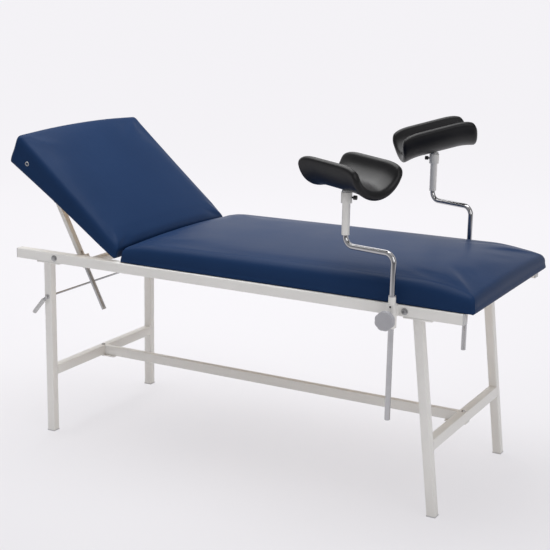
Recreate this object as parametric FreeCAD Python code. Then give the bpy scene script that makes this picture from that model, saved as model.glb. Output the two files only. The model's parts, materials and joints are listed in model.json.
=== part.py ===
# Examination couch with a tilting back and a pair of leg holders.
# Millimetres. +X runs from the head end to the foot end, +Z is up, -Y is the patient's right side.
# The pieces are drawn about the couch's centre plane, with X from midway between the legs, and then moved
# so that the origin is on the floor in the middle of the right head leg's foot.
import FreeCAD, Part
import math
import os

V = FreeCAD.Vector
Y_AXIS = V(0, 1, 0)
Z_AXIS = V(0, 0, 1)
SIDES = {"right": -1, "left": 1}

# Side rails: square tube, closed by plugs
RAIL_HEAD_X = -867.0
RAIL_FOOT_X = 819.0
RAIL_SIZE = 35.0
RAIL_WALL = 2.0
RAIL_PROUD = 7.5
RAIL_BASE_Z = 651.0
PLUG_FLANGE = 3.0
PLUG_DEPTH = 14.0
PLUG_CLEARANCE = 0.2

# Legs: square tube, upright at the head and leaning outwards at the foot
LEG_SIZE = 30.0
LEG_WALL = 2.0
HEAD_LEG_X = -750.0
FOOT_LEG_X = 750.0
FOOT_LEG_LEAN = 0.12
FOOT_CAP = 4.0
FOOT_CAP_RIM = 0.8
FOOT_CAP_PLUG = 16.0

# Welded brackets that carry the rails on the legs
BRACKET_PLATE = 4.0
BRACKET_TAB = 30.0
HEAD_BOLT_X = -702.0
FOOT_BOLT_X = 632.0
BRACKET_MARGIN = 20.0
FOOT_SHELF_REACH = 50.0
LEG_BOLT_R = 5.0
LEG_BOLT_HEAD_R = 8.5
LEG_BOLT_HEAD = 6.0
LEG_WASHER_R = 11.0
LEG_WASHER = 2.0
LEG_NUT_R = 8.5
LEG_NUT = 8.0
BOLT_CLEARANCE = 0.25

# Crossbars between the legs and the stretcher between the crossbars
BAR_HEIGHT = 35.0
BAR_TOP_Z = 248.0
BAR_WALL = 2.0
STRETCHER_WIDTH = 20.0
STRETCHER_WALL = 1.5
TAB_PLATE = 4.0
TAB_LENGTH = 46.0
TAB_WIDTH = 40.0
STRETCHER_BOLT_R = 4.0
STRETCHER_BOLT_HEAD_R = 8.0
STRETCHER_BOLT_TOP_R = 4.8
STRETCHER_BOLT_HEAD = 4.5
STRETCHER_NUT_R = 7.5
STRETCHER_NUT = 6.5

# Cross tubes between the rails, flush with their tops
CROSS_WIDTH = 30.0
CROSS_HEIGHT = 20.0
CROSS_WALL = 2.0
STRUT_CROSS_X = -561.0
HINGE_CROSS_GAP = 11.0
FOOT_CROSS_X = 744.0

# Seat cushion on its board
SEAT_HEAD_X = -430.0
SEAT_FOOT_X = 850.0
PAD_HALF_WIDTH = 364.5
SEAT_HEAD_EDGE = 69.0
SEAT_FOOT_EDGE = 80.0
SEAT_END_EDGE = 45.0
SEAT_CROWN = 9.0
SEAT_ROUND = 44.0
PAD_WALL = 26.0
SIDE_DRAW = 4.0
SEAT_HEAD_FALL = 120.0
SEAT_FOOT_FALL = 190.0
FALL_STEPS = 6
END_STEPS = 5
SIDE_STEPS = 6
END_FLATTEN = 0.4
BOARD_THICK = 12.0
BOARD_INSET = 9.0
SEAT_SCREW_R = 3.0
SEAT_SCREW_HEAD_R = 6.0
SEAT_SCREW_HEAD = 3.0
SEAT_SCREW_BITE = 9.0
SEAT_SCREW_COUNT = 4
SEAT_SCREW_EDGE = 84.5
SEAT_SCREW_ROOM = 0.2

# Back cushion: a wedge on its board, hinged at the seat's head end
HINGE_GAP = 8.0
HINGE_HEIGHT = 13.0
BACK_TILT = 34.0
BACK_LENGTH = 535.0
BACK_HINGE_EDGE = 39.0
BACK_HEAD_EDGE = 103.0
BACK_CROWN = 13.0
BACK_ROUND = 20.0
BACK_END_ROUND = 18.0
HINGE_END_LEAN = 0.24
HEAD_END_LEAN = 0.30
BACK_HINGE_DROP = 4.0
BACK_HEAD_DROP = 10.0
VENT_HEAD_INSET = 63.0
VENT_N = 30.0
VENT_R = 8.5
VENT_HOLE_R = 4.0
VENT_DEPTH = 2.5

# Hinges under the boards
HINGE_EDGE = 149.5
HINGE_PIN_R = 4.0
HINGE_RUN = 0.05
HINGE_LUG_R = 7.5
HINGE_LUG = 10.0
HINGE_TONGUE = 36.0
HINGE_LUG_GAP = 1.0
HINGE_LEAF = 4.0
HINGE_LEAF_LENGTH = 62.0
HINGE_LEAF_START = 10.0
LEAF_SCREW_R = 2.5
LEAF_SCREW_HEAD_R = 5.0
LEAF_SCREW_HEAD = 2.5
LEAF_SCREW_BITE = 8.0
LEAF_SCREW_ROOM = 0.2
LEAF_SCREW_END = 28.0

# Struts that prop the back, each sliding through a swivelling guide on the rail
STRUT_INSET = 30.0
STRUT_S = 335.0
STRUT_DROP = 13.0
STRUT_ANGLE = 62.6
STRUT_WIDTH = 22.0
STRUT_DEPTH = 14.0
STRUT_WALL = 2.0
STRUT_END = 6.5
CHANNEL_LENGTH = 258.0
BAR_WIDTH = 16.0
BAR_DEPTH = 8.0
BAR_OVERLAP = 70.0
BAR_REACH = 162.0
STRUT_RIVET_R = 3.0
STRUT_RIVET_HEAD_R = 5.5
STRUT_RIVET_HEAD = 2.0
STRUT_PIN_R = 4.0
STRUT_PIN_HEAD_R = 6.5
STRUT_PIN_HEAD = 2.5
CLEVIS_WALL = 3.0
CLEVIS_GAP = 0.8
CLEVIS_BASE = 3.0
CLEVIS_LENGTH = 70.0
CLEVIS_CHEEK_R = 9.0
GUIDE_Z = 660.0
GUIDE_SLOT = 18.5
GUIDE_WALL = 3.0
GUIDE_LENGTH = 30.0
GUIDE_SIDE_GAP = 1.5
GUIDE_PIN_R = 6.0
GUIDE_PIN_IN = 4.0

# Roll rod across the head legs, with its bent grip outside the right leg
ROLL_Z = 512.0
ROLL_ROD_R = 4.0
ROLL_BUSH_R = 6.0
ROLL_BUSH_FLANGE_R = 9.0
ROLL_BUSH_FLANGE = 2.0
ROLL_RUN = 0.05
ROLL_END = 6.0
ROLL_ARM_OUT = 14.0
ROLL_BEND_R = 10.0
ROLL_ARM = 82.0
ROLL_ARM_ANGLE = 50.0
GRIP_R = 8.0
GRIP_LENGTH = 71.0
GRIP_CAP = 5.0

# Leg-holder sockets on the rails
RIGHT_SOCKET_X = 596.0
LEFT_SOCKET_X = 558.0
SOCKET_SIZE = 25.0
SOCKET_TOP_Z = 714.0
SOCKET_LENGTH = 99.0
SOCKET_NECK = 22.0
SOCKET_NECK_R = 11.6
SOCKET_PLATE = 4.0
SOCKET_PLATE_WIDTH = 36.0
SOCKET_PLATE_HEIGHT = 30.0
SOCKET_CHAMFER = 2.0
ROD_R = 9.0
BUSH_WALL = 1.45
BUSH_FLANGE = 3.0
BUSH_FLANGE_R = 11.4
RUNNING_FIT = 0.05
KNOB_Z = 649.0
KNOB_R = 30.0
KNOB_THICK = 20.0
KNOB_SCALLOPS = 8
KNOB_SCALLOP_R = 7.0
KNOB_SCALLOP_PITCH = 33.5
KNOB_HUB_R = 12.0
KNOB_HUB = 12.0
KNOB_STANDOFF = 40.0
SPINDLE_R = 4.0
SPINDLE_GAP = 0.4
SET_SCREW_Z = 684.0
SET_SCREW_R = 3.0
SET_SCREW_OUT = 1.5

# Cranked rods
RIGHT_RUN_Z = 846.0
LEFT_RUN_Z = 866.0
CRANK_ANGLE = {"right": 169.0, "left": 160.0}
CRANK_OFFSET = 183.0
CRANK_BEND_R = 30.0
ROD_DROP = 528.0
ROD_RISE = 122.0
POST_START = 34.0
POST_R = 12.5
POST_LENGTH = 100.0
POST_ROOM = 0.1
COLLAR_R = 17.5
COLLAR_LENGTH = 34.0
COLLAR_FLOOR = 4.0
COLLAR_SCREW_ANGLE = {"right": 10.0, "left": 190.0}
COLLAR_SCREW_DROP = 18.0
COLLAR_SCREW_R = 3.0
COLLAR_SCREW_HEAD_R = 7.0
COLLAR_SCREW_HEAD = 12.0
COLLAR_SCREW_STAND = 4.0

# Leg-holder shells and the tilting joint in the pocket under each
SHELL_SWIVEL = {"right": -24.0, "left": 35.0}
SHELL_PITCH = {"right": -2.5, "left": 14.5}
SHELL_HALF_LENGTH = 138.0
SHELL_AHEAD = 8.0
SHELL_HALF_WIDTH = 88.0
SHELL_LIP = 12.0
SHELL_LIP_Z = 80.0
SHELL_FLOOR = 30.0
SHELL_END_DROP = 13.0
SHELL_FLARE = 70.0
SHELL_RIM = 11.0
SHELL_CORNER = 34.0
SHELL_STEPS = 8
RIM_STEPS = 3
RIM_THIN = 0.4
LIP_ROUND = 0.85
SHELL_GAP = 8.0
STEM_R = 8.0
STEM_LENGTH = 28.0
NECK_R = 15.0
NECK_HEIGHT = 6.0
TILT_HEIGHT = 11.0
TONGUE_WIDTH = 12.0
TONGUE_R = 8.0
TILT_PIN_R = 4.0
CHEEK = 5.0
CHEEK_GAP = 0.5
CHEEK_R = 8.0
POCKET_U = 24.0
POCKET_V = 20.0
POCKET_DEPTH = 24.0
POCKET_PLATE = 4.0
POCKET_ROOM = 1.0

# Places that several pieces share
RAIL_TOP_Z = RAIL_BASE_Z + RAIL_SIZE
RAIL_OUTER_Y = PAD_HALF_WIDTH + RAIL_PROUD
RAIL_INNER_Y = RAIL_OUTER_Y - RAIL_SIZE
RAIL_MID_Z = RAIL_BASE_Z + RAIL_SIZE / 2
RAIL_MID_Y = RAIL_OUTER_Y - RAIL_SIZE / 2
LEG_OUTER_Y = RAIL_INNER_Y - BRACKET_PLATE
LEG_INNER_Y = LEG_OUTER_Y - LEG_SIZE
LEG_TOP_Z = RAIL_BASE_Z - BRACKET_PLATE
BAR_BASE_Z = BAR_TOP_Z - BAR_HEIGHT
SEAT_SCREW_Y = PAD_HALF_WIDTH - SEAT_SCREW_EDGE
HINGE_Y = PAD_HALF_WIDTH - HINGE_EDGE
STRUT_Y = RAIL_INNER_Y - STRUT_INSET
HINGE_X = SEAT_HEAD_X - HINGE_GAP
HINGE_Z = RAIL_TOP_Z + HINGE_HEIGHT
HINGE_CROSS_X = HINGE_X + HINGE_LEAF_START + HINGE_LEAF_LENGTH + HINGE_CROSS_GAP
ROLL_X = HEAD_LEG_X - LEG_SIZE / 2
ROD_Y = RAIL_OUTER_Y + SOCKET_PLATE + SOCKET_SIZE / 2
BUSH_R = ROD_R + RUNNING_FIT + BUSH_WALL
SOCKET_X = {"right": RIGHT_SOCKET_X, "left": LEFT_SOCKET_X}
ROD_RUN_Z = {"right": RIGHT_RUN_Z, "left": LEFT_RUN_Z}
STRUT_N = -HINGE_HEIGHT - STRUT_DROP
SHELL_TILT_Z = POST_START + POST_LENGTH + COLLAR_LENGTH + SHELL_GAP + TILT_HEIGHT
DATUM = V(HEAD_LEG_X - LEG_SIZE / 2, -(LEG_INNER_Y + LEG_OUTER_Y) / 2, 0)


def box(x0, x1, y0, y1, z0, z1):
    """Block between two corners, given in any order."""
    low = V(min(x0, x1), min(y0, y1), min(z0, z1))
    return Part.makeBox(abs(x1 - x0), abs(y1 - y0), abs(z1 - z0), low)


def cylinder(base, axis, radius, length):
    """Round bar from a base point along an axis."""
    return Part.makeCylinder(radius, length, base, axis)


def prism(points, along):
    """Flat outline pushed along a vector."""
    return Part.Face(Part.makePolygon(points + points[:1])).extrude(along)


def hexagon(centre, axis, across_r, height):
    """Hexagonal prism for a bolt head or a nut."""
    blank = cylinder(V(0, 0, 0), Z_AXIS, across_r, height)
    flat = across_r * math.cos(math.pi / 6)
    for i in range(6):
        chip = box(flat, flat + across_r, -across_r, across_r, 0, height)
        chip.rotate(V(0, 0, 0), Z_AXIS, 60 * i)
        blank = blank.cut(chip)
    blank.Placement = FreeCAD.Placement(centre, FreeCAD.Rotation(Z_AXIS, axis))
    return blank


def fused(shapes):
    """Pieces welded into one solid."""
    return shapes[0].multiFuse(shapes[1:]).removeSplitter()


def foot_x(z):
    """The foot legs' outer face at a height."""
    return FOOT_LEG_X - FOOT_LEG_LEAN * z


def on_back(s, n, y=0.0):
    """A point of the back at rest: s from the hinge axis towards the head, n above the axis."""
    c = math.cos(math.radians(BACK_TILT))
    d = math.sin(math.radians(BACK_TILT))
    return V(HINGE_X - s * c + n * d, y, HINGE_Z + s * d + n * c)


def back_frame(shape):
    """Turn a shape drawn on the back laid flat to the tilt that the back rests at."""
    shape.rotate(V(HINGE_X, 0, HINGE_Z), Y_AXIS, BACK_TILT)
    return shape


def side_rail(side):
    """Square tube with holes for the leg bolts and the strut guide's pin."""
    outer = side * RAIL_OUTER_Y
    inner = side * RAIL_INNER_Y
    wall = side * RAIL_WALL
    tube = box(RAIL_HEAD_X, RAIL_FOOT_X, inner, outer, RAIL_BASE_Z, RAIL_TOP_Z)
    hollow = box(RAIL_HEAD_X, RAIL_FOOT_X, inner + wall, outer - wall,
                 RAIL_BASE_Z + RAIL_WALL, RAIL_TOP_Z - RAIL_WALL)
    cuts = [hollow]
    for x in (HEAD_BOLT_X, FOOT_BOLT_X):
        cuts.append(cylinder(V(x, inner, RAIL_MID_Z), V(0, side, 0), LEG_BOLT_R + BOLT_CLEARANCE, RAIL_SIZE))
    pivot = guide_pivot()
    cuts.append(cylinder(V(pivot.x, inner, pivot.z), V(0, side, 0), GUIDE_PIN_R + RUNNING_FIT, RAIL_WALL))
    return tube.cut(Part.makeCompound(cuts))


def seat_screw_places():
    """Screws through the two cross tubes under the seat, evenly spaced across it."""
    step = 2 * SEAT_SCREW_Y / (SEAT_SCREW_COUNT - 1)
    return [(x + CROSS_WIDTH / 2, step * i - SEAT_SCREW_Y)
            for x in (HINGE_CROSS_X, FOOT_CROSS_X) for i in range(SEAT_SCREW_COUNT)]


def rail_end_plugs():
    """Plastic plugs in the four rail ends."""
    plugs = []
    half = RAIL_SIZE / 2
    inside = half - RAIL_WALL - PLUG_CLEARANCE
    for side in SIDES.values():
        y = side * RAIL_MID_Y
        for x, out in ((RAIL_HEAD_X, -1), (RAIL_FOOT_X, 1)):
            flange = box(x, x + out * PLUG_FLANGE, y - half, y + half, RAIL_BASE_Z, RAIL_TOP_Z)
            body = box(x, x - out * PLUG_DEPTH, y - inside, y + inside,
                       RAIL_MID_Z - inside, RAIL_MID_Z + inside)
            plugs.append(fused([flange, body]))
    return Part.makeCompound(plugs)


def cross_tube(x):
    """Flat tube between the rails, flush with their tops; x is its head-end face."""
    low = RAIL_TOP_Z - CROSS_HEIGHT
    tube = box(x, x + CROSS_WIDTH, -RAIL_INNER_Y, RAIL_INNER_Y, low, RAIL_TOP_Z)
    w = CROSS_WALL
    return tube.cut(box(x + w, x + CROSS_WIDTH - w, -RAIL_INNER_Y, RAIL_INNER_Y, low + w, RAIL_TOP_Z - w))


def seat_cross_tubes():
    """The two cross tubes that carry the seat board, drilled for its screws."""
    low = RAIL_TOP_Z - CROSS_HEIGHT
    holes = [cylinder(V(x, y, low), Z_AXIS, SEAT_SCREW_R + SEAT_SCREW_ROOM, CROSS_HEIGHT)
             for x, y in seat_screw_places()]
    drill = Part.makeCompound(holes)
    return Part.makeCompound([cross_tube(x).cut(drill) for x in (HINGE_CROSS_X, FOOT_CROSS_X)])


def leaning_block(z0, z1, y0, y1, near, far):
    """Block that follows the foot legs' lean, between two offsets behind their outer face."""
    outline = [V(foot_x(z0) - far, y0, z0), V(foot_x(z0) - near, y0, z0),
               V(foot_x(z1) - near, y0, z1), V(foot_x(z1) - far, y0, z1)]
    return prism(outline, V(0, y1 - y0, 0))


def head_leg(side):
    """Upright square tube with bores for the roll rod's bushes."""
    y0 = side * LEG_INNER_Y
    y1 = side * LEG_OUTER_Y
    w = LEG_WALL
    tube = box(HEAD_LEG_X - LEG_SIZE, HEAD_LEG_X, y0, y1, FOOT_CAP, LEG_TOP_Z)
    tube = tube.cut(box(HEAD_LEG_X - LEG_SIZE + w, HEAD_LEG_X - w, y0 + side * w, y1 - side * w,
                        FOOT_CAP, LEG_TOP_Z))
    bore = cylinder(V(ROLL_X, y0, ROLL_Z), V(0, side, 0), ROLL_BUSH_R + ROLL_RUN, LEG_SIZE)
    return tube.cut(bore)


def foot_leg(side):
    """Square tube that leans outwards towards the floor."""
    y0 = side * LEG_INNER_Y
    y1 = side * LEG_OUTER_Y
    w = LEG_WALL
    tube = leaning_block(FOOT_CAP, LEG_TOP_Z, y0, y1, 0, LEG_SIZE)
    return tube.cut(leaning_block(FOOT_CAP, LEG_TOP_Z, y0 + side * w, y1 - side * w, w, LEG_SIZE - w))


def foot_caps():
    """Plastic caps under the four legs, each with a plug inside the tube."""
    caps = []
    rim = FOOT_CAP_RIM
    inset = LEG_WALL + PLUG_CLEARANCE
    top = FOOT_CAP + FOOT_CAP_PLUG
    for side in SIDES.values():
        y0 = side * LEG_INNER_Y
        y1 = side * LEG_OUTER_Y
        for x0 in (HEAD_LEG_X, foot_x(FOOT_CAP)):
            pad = box(x0 - LEG_SIZE - rim, x0 + rim, y0 - side * rim, y1 + side * rim, 0, FOOT_CAP)
            if x0 == HEAD_LEG_X:
                plug = box(x0 - LEG_SIZE + inset, x0 - inset, y0 + side * inset, y1 - side * inset,
                           FOOT_CAP, top)
            else:
                plug = leaning_block(FOOT_CAP, top, y0 + side * inset, y1 - side * inset,
                                     inset, LEG_SIZE - inset)
            caps.append(fused([pad, plug]))
    return Part.makeCompound(caps)


def head_crossbar():
    """Tube between the head legs, drilled for the stretcher bolt."""
    w = BAR_WALL
    x1 = HEAD_LEG_X
    x0 = x1 - LEG_SIZE
    tube = box(x0, x1, -LEG_INNER_Y, LEG_INNER_Y, BAR_BASE_Z, BAR_TOP_Z)
    tube = tube.cut(box(x0 + w, x1 - w, -LEG_INNER_Y, LEG_INNER_Y, BAR_BASE_Z + w, BAR_TOP_Z - w))
    return tube.cut(stretcher_bolt_hole(stretcher_bolt_places()[0]))


def foot_crossbar():
    """Tube between the foot legs, leaning with them, drilled for the stretcher bolt."""
    w = BAR_WALL
    tube = leaning_block(BAR_BASE_Z, BAR_TOP_Z, -LEG_INNER_Y, LEG_INNER_Y, 0, LEG_SIZE)
    tube = tube.cut(leaning_block(BAR_BASE_Z + w, BAR_TOP_Z - w, -LEG_INNER_Y, LEG_INNER_Y, w, LEG_SIZE - w))
    return tube.cut(stretcher_bolt_hole(stretcher_bolt_places()[1]))


def stretcher_bolt_places():
    """Bolts stand in the middle of each crossbar."""
    return (HEAD_LEG_X - LEG_SIZE / 2, foot_x((BAR_BASE_Z + BAR_TOP_Z) / 2) - LEG_SIZE / 2)


def stretcher_bolt_hole(x):
    """Upright hole through a crossbar and the tab under it."""
    return cylinder(V(x, 0, BAR_BASE_Z - TAB_PLATE), Z_AXIS, STRETCHER_BOLT_R + BOLT_CLEARANCE,
                    BAR_HEIGHT + TAB_PLATE)


def stretcher():
    """Tube between the crossbars, with a welded tab that runs under each of them."""
    w = STRETCHER_WALL
    half = STRETCHER_WIDTH / 2

    def length_block(z0, z1, y):
        ends = [V(HEAD_LEG_X, -y, z0), V(foot_x(z0) - LEG_SIZE, -y, z0),
                V(foot_x(z1) - LEG_SIZE, -y, z1), V(HEAD_LEG_X, -y, z1)]
        return prism(ends, V(0, 2 * y, 0))

    tube = length_block(BAR_BASE_Z, BAR_TOP_Z, half)
    tube = tube.cut(length_block(BAR_BASE_Z + w, BAR_TOP_Z - w, half - w))
    low = BAR_BASE_Z - TAB_PLATE
    head_tab = box(HEAD_LEG_X - LEG_SIZE, HEAD_LEG_X + TAB_LENGTH,
                   -TAB_WIDTH / 2, TAB_WIDTH / 2, low, BAR_BASE_Z)
    foot_tab = box(foot_x(BAR_BASE_Z) - LEG_SIZE - TAB_LENGTH, foot_x(BAR_BASE_Z),
                   -TAB_WIDTH / 2, TAB_WIDTH / 2, low, BAR_BASE_Z)
    welded = fused([tube, head_tab, foot_tab])
    for x in stretcher_bolt_places():
        welded = welded.cut(stretcher_bolt_hole(x))
    return welded


def stretcher_bolts():
    """Dome-headed bolts down through the crossbars, with nuts under the stretcher's tabs."""
    bolts = []
    for x in stretcher_bolt_places():
        reach = BAR_HEIGHT + TAB_PLATE + STRETCHER_NUT
        shank = cylinder(V(x, 0, BAR_TOP_Z - reach), Z_AXIS, STRETCHER_BOLT_R, reach)
        head = Part.makeCone(STRETCHER_BOLT_HEAD_R, STRETCHER_BOLT_TOP_R, STRETCHER_BOLT_HEAD,
                             V(x, 0, BAR_TOP_Z), Z_AXIS)
        bolts.append(fused([shank, head]))
        low = V(x, 0, BAR_BASE_Z - TAB_PLATE - STRETCHER_NUT)
        bolts.append(ring_nut(low, Z_AXIS, STRETCHER_NUT_R, STRETCHER_NUT, STRETCHER_BOLT_R))
    return Part.makeCompound(bolts)


def ring_nut(centre, axis, across_r, height, hole_r):
    """Hexagonal nut with its hole."""
    nut = hexagon(centre, axis, across_r, height)
    return nut.cut(cylinder(centre, axis, hole_r, height))


def leg_brackets():
    """Shelf under each rail end on top of a leg, with an upright tab behind the rail."""
    brackets = []
    foot_top = foot_x(LEG_TOP_Z)
    spans = ((HEAD_LEG_X - LEG_SIZE, HEAD_BOLT_X + BRACKET_MARGIN, HEAD_BOLT_X),
             (FOOT_BOLT_X - LEG_BOLT_R, foot_top + FOOT_SHELF_REACH, FOOT_BOLT_X))
    for side in SIDES.values():
        for x0, x1, bolt in spans:
            shelf = box(x0, x1, side * RAIL_OUTER_Y, side * LEG_INNER_Y, LEG_TOP_Z, RAIL_BASE_Z)
            tab = box(bolt - BRACKET_TAB / 2, bolt + BRACKET_TAB / 2, side * RAIL_INNER_Y, side * LEG_OUTER_Y,
                      RAIL_BASE_Z, RAIL_TOP_Z - BRACKET_PLATE)
            foot = box(bolt - BRACKET_TAB / 2, bolt + BRACKET_TAB / 2, side * RAIL_INNER_Y,
                       side * LEG_OUTER_Y, LEG_TOP_Z, RAIL_BASE_Z)
            hole = cylinder(V(bolt, side * LEG_OUTER_Y, RAIL_MID_Z), V(0, side, 0),
                            LEG_BOLT_R + BOLT_CLEARANCE, BRACKET_PLATE)
            brackets.append(fused([shelf, tab, foot]).cut(hole))
    return Part.makeCompound(brackets)


def leg_bolt_places():
    """The rail's outer face at each leg bolt, with the side it is on."""
    return [(V(x, side * RAIL_OUTER_Y, RAIL_MID_Z), side)
            for side in SIDES.values() for x in (HEAD_BOLT_X, FOOT_BOLT_X)]


def leg_bolts():
    """Hexagon bolts through the rails into the bracket tabs, with washers and nuts."""
    bolts = []
    reach = LEG_WASHER + RAIL_SIZE + BRACKET_PLATE + LEG_NUT
    for place, side in leg_bolt_places():
        start = place + V(0, side * LEG_WASHER, 0)
        shank = cylinder(start, V(0, -side, 0), LEG_BOLT_R, reach)
        bolts.append(fused([shank, hexagon(start, V(0, side, 0), LEG_BOLT_HEAD_R, LEG_BOLT_HEAD)]))
        washer = cylinder(place, V(0, side, 0), LEG_WASHER_R, LEG_WASHER)
        bolts.append(washer.cut(cylinder(place, V(0, side, 0), LEG_BOLT_R, LEG_WASHER)))
        seat = V(place.x, side * LEG_OUTER_Y, place.z)
        bolts.append(ring_nut(seat, V(0, -side, 0), LEG_NUT_R, LEG_NUT, LEG_BOLT_R))
    return Part.makeCompound(bolts)


def pad_section(place, half_width, edge, crown, most_round):
    """Cushion outline across the couch: flat base, upright walls, rounded shoulders and a crowned top."""
    r = min(most_round, edge - PAD_WALL)
    k = r * (1 - math.cos(math.pi / 4))
    w = half_width

    def p(y, h):
        return place(y, h)

    edges = [Part.LineSegment(p(-w, 0), p(w, 0)),
             Part.LineSegment(p(w, 0), p(w, edge - r)),
             Part.Arc(p(w, edge - r), p(w - k, edge - k), p(w - r, edge)),
             Part.Arc(p(w - r, edge), p(0, edge + crown), p(r - w, edge)),
             Part.Arc(p(r - w, edge), p(k - w, edge - k), p(-w, edge - r)),
             Part.LineSegment(p(-w, edge - r), p(-w, 0))]
    return Part.Wire([e.toShape() for e in edges])


def back_stations():
    """Places along the back, each with its share of the end's drop, finer where the ends are rounded."""
    steps = []
    for i in range(END_STEPS + 1):
        a = math.pi / 2 * i / END_STEPS
        steps.append((BACK_END_ROUND * (1 - math.cos(a)), 1 - math.sin(a)))
    inner = BACK_LENGTH - 2 * BACK_END_ROUND
    middle = [(BACK_END_ROUND + inner * i / SIDE_STEPS, 0.0) for i in range(1, SIDE_STEPS)]
    return steps + middle + [(BACK_LENGTH - t, drop) for t, drop in reversed(steps)]


def seat_stations(length):
    """Places along the seat, each with its share of the drop to the nearer end, which grows as a square."""
    shares = [1 - i / FALL_STEPS for i in range(FALL_STEPS + 1)]
    head = [(SEAT_HEAD_FALL * (1 - u), u ** 2) for u in shares]
    foot = [(length - SEAT_FOOT_FALL * (1 - u), u ** 2) for u in reversed(shares)]
    inner = length - SEAT_HEAD_FALL - SEAT_FOOT_FALL
    middle = [(SEAT_HEAD_FALL + inner * i / SIDE_STEPS, 0.0) for i in range(1, SIDE_STEPS)]
    return head + middle + foot


def side_draw(t, length):
    """How far a cushion's sides draw in at a place along it."""
    return SIDE_DRAW * (1 - (2 * t / length - 1) ** 2)


def seat_pad():
    """Crowned cushion whose sides draw in between its corners, recessed below for its board."""
    length = SEAT_FOOT_X - SEAT_HEAD_X
    wires = []
    for t, drop in seat_stations(length):
        full = SEAT_HEAD_EDGE + (SEAT_FOOT_EDGE - SEAT_HEAD_EDGE) * t / length
        wires.append(pad_section(lambda y, h, x=SEAT_HEAD_X + t: V(x, y, RAIL_TOP_Z + h),
                                 PAD_HALF_WIDTH - side_draw(t, length), full + (SEAT_END_EDGE - full) * drop,
                                 SEAT_CROWN * (1 - END_FLATTEN * drop), SEAT_ROUND))
    return Part.makeLoft(wires, True, True).cut(seat_board_blank())


def seat_board_blank():
    """The seat board before it is drilled."""
    y = PAD_HALF_WIDTH - SIDE_DRAW - BOARD_INSET
    return box(SEAT_HEAD_X + BOARD_INSET, SEAT_FOOT_X - BOARD_INSET, -y, y,
               RAIL_TOP_Z, RAIL_TOP_Z + BOARD_THICK)


def seat_board():
    """Plywood under the seat cushion, drilled for the tube screws and the hinge screws."""
    holes = [cylinder(V(x, y, RAIL_TOP_Z), Z_AXIS, SEAT_SCREW_R, SEAT_SCREW_BITE)
             for x, y in seat_screw_places()]
    holes += [cylinder(V(x, y, RAIL_TOP_Z), Z_AXIS, LEAF_SCREW_R, LEAF_SCREW_BITE)
              for x, y in leaf_screw_places(1)]
    return seat_board_blank().cut(Part.makeCompound(holes))


def seat_screws():
    """Long screws up through the cross tubes and short ones through the hinge leaves."""
    screws = []
    for x, y in seat_screw_places():
        base = V(x, y, RAIL_TOP_Z - CROSS_HEIGHT)
        shank = cylinder(base, Z_AXIS, SEAT_SCREW_R, CROSS_HEIGHT + SEAT_SCREW_BITE)
        head = cylinder(base - V(0, 0, SEAT_SCREW_HEAD), Z_AXIS, SEAT_SCREW_HEAD_R, SEAT_SCREW_HEAD)
        screws.append(fused([shank, head]))
    screws += leaf_screws(leaf_screw_places(1), RAIL_TOP_Z - HINGE_LEAF).Solids
    return Part.makeCompound(screws)


def back_pad():
    """Wedge-shaped crowned cushion, thicker towards the head, with its end faces leaning outwards."""
    wires = []
    for t, drop in back_stations():
        end_drop = BACK_HINGE_DROP if t < BACK_LENGTH / 2 else BACK_HEAD_DROP
        edge = BACK_HINGE_EDGE + (BACK_HEAD_EDGE - BACK_HINGE_EDGE) * t / BACK_LENGTH - end_drop * drop
        lean = HINGE_END_LEAN + (HEAD_END_LEAN - HINGE_END_LEAN) * t / BACK_LENGTH

        def place(y, h, s=HINGE_GAP + t, lean=lean):
            return V(HINGE_X - s - lean * h, y, RAIL_TOP_Z + h)

        wires.append(pad_section(place, PAD_HALF_WIDTH - side_draw(t, BACK_LENGTH), edge,
                                 BACK_CROWN * (1 - END_FLATTEN * drop), BACK_ROUND))
    pad = Part.makeLoft(wires, True, True).cut(back_board_blank())
    for side in SIDES.values():
        pad = pad.cut(vent_blank(side, VENT_R, VENT_DEPTH * 2))
    return back_frame(pad)


def vent_blank(side, radius, depth):
    """Disc at a vent eyelet's place on the laid-flat back, reaching in from the pad's side."""
    face = PAD_HALF_WIDTH - SIDE_DRAW / 2
    x = HINGE_X - HINGE_GAP - BACK_LENGTH + VENT_HEAD_INSET
    base = V(x, side * (face - depth / 2), HINGE_Z + VENT_N)
    return cylinder(base, V(0, side, 0), radius, depth)


def vent_eyelets():
    """Steel eyelets that let air in and out of the back cushion."""
    rings = [vent_blank(side, VENT_R, VENT_DEPTH * 2).cut(vent_blank(side, VENT_HOLE_R, VENT_DEPTH * 2))
             for side in SIDES.values()]
    return back_frame(Part.makeCompound(rings))


def back_board_blank():
    """The back board laid flat, before it is drilled."""
    y = PAD_HALF_WIDTH - SIDE_DRAW - BOARD_INSET
    return box(HINGE_X - HINGE_GAP - BACK_LENGTH + BOARD_INSET, HINGE_X - HINGE_GAP - BOARD_INSET,
               -y, y, RAIL_TOP_Z, RAIL_TOP_Z + BOARD_THICK)


def back_board():
    """Plywood under the back cushion, drilled for the hinge and clevis screws."""
    holes = [cylinder(V(x, y, RAIL_TOP_Z), Z_AXIS, LEAF_SCREW_R, LEAF_SCREW_BITE)
             for x, y in leaf_screw_places(-1) + clevis_screw_places()]
    return back_frame(back_board_blank().cut(Part.makeCompound(holes)))


def leaf_screw_places(way):
    """Two screws in each hinge leaf; way is 1 for the seat and -1 for the back."""
    x = HINGE_X + way * (HINGE_LEAF_START + HINGE_LEAF_LENGTH - LEAF_SCREW_END)
    reach = HINGE_TONGUE / 2
    return [(x, side * HINGE_Y + dy) for side in SIDES.values() for dy in (-reach, reach)]


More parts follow.
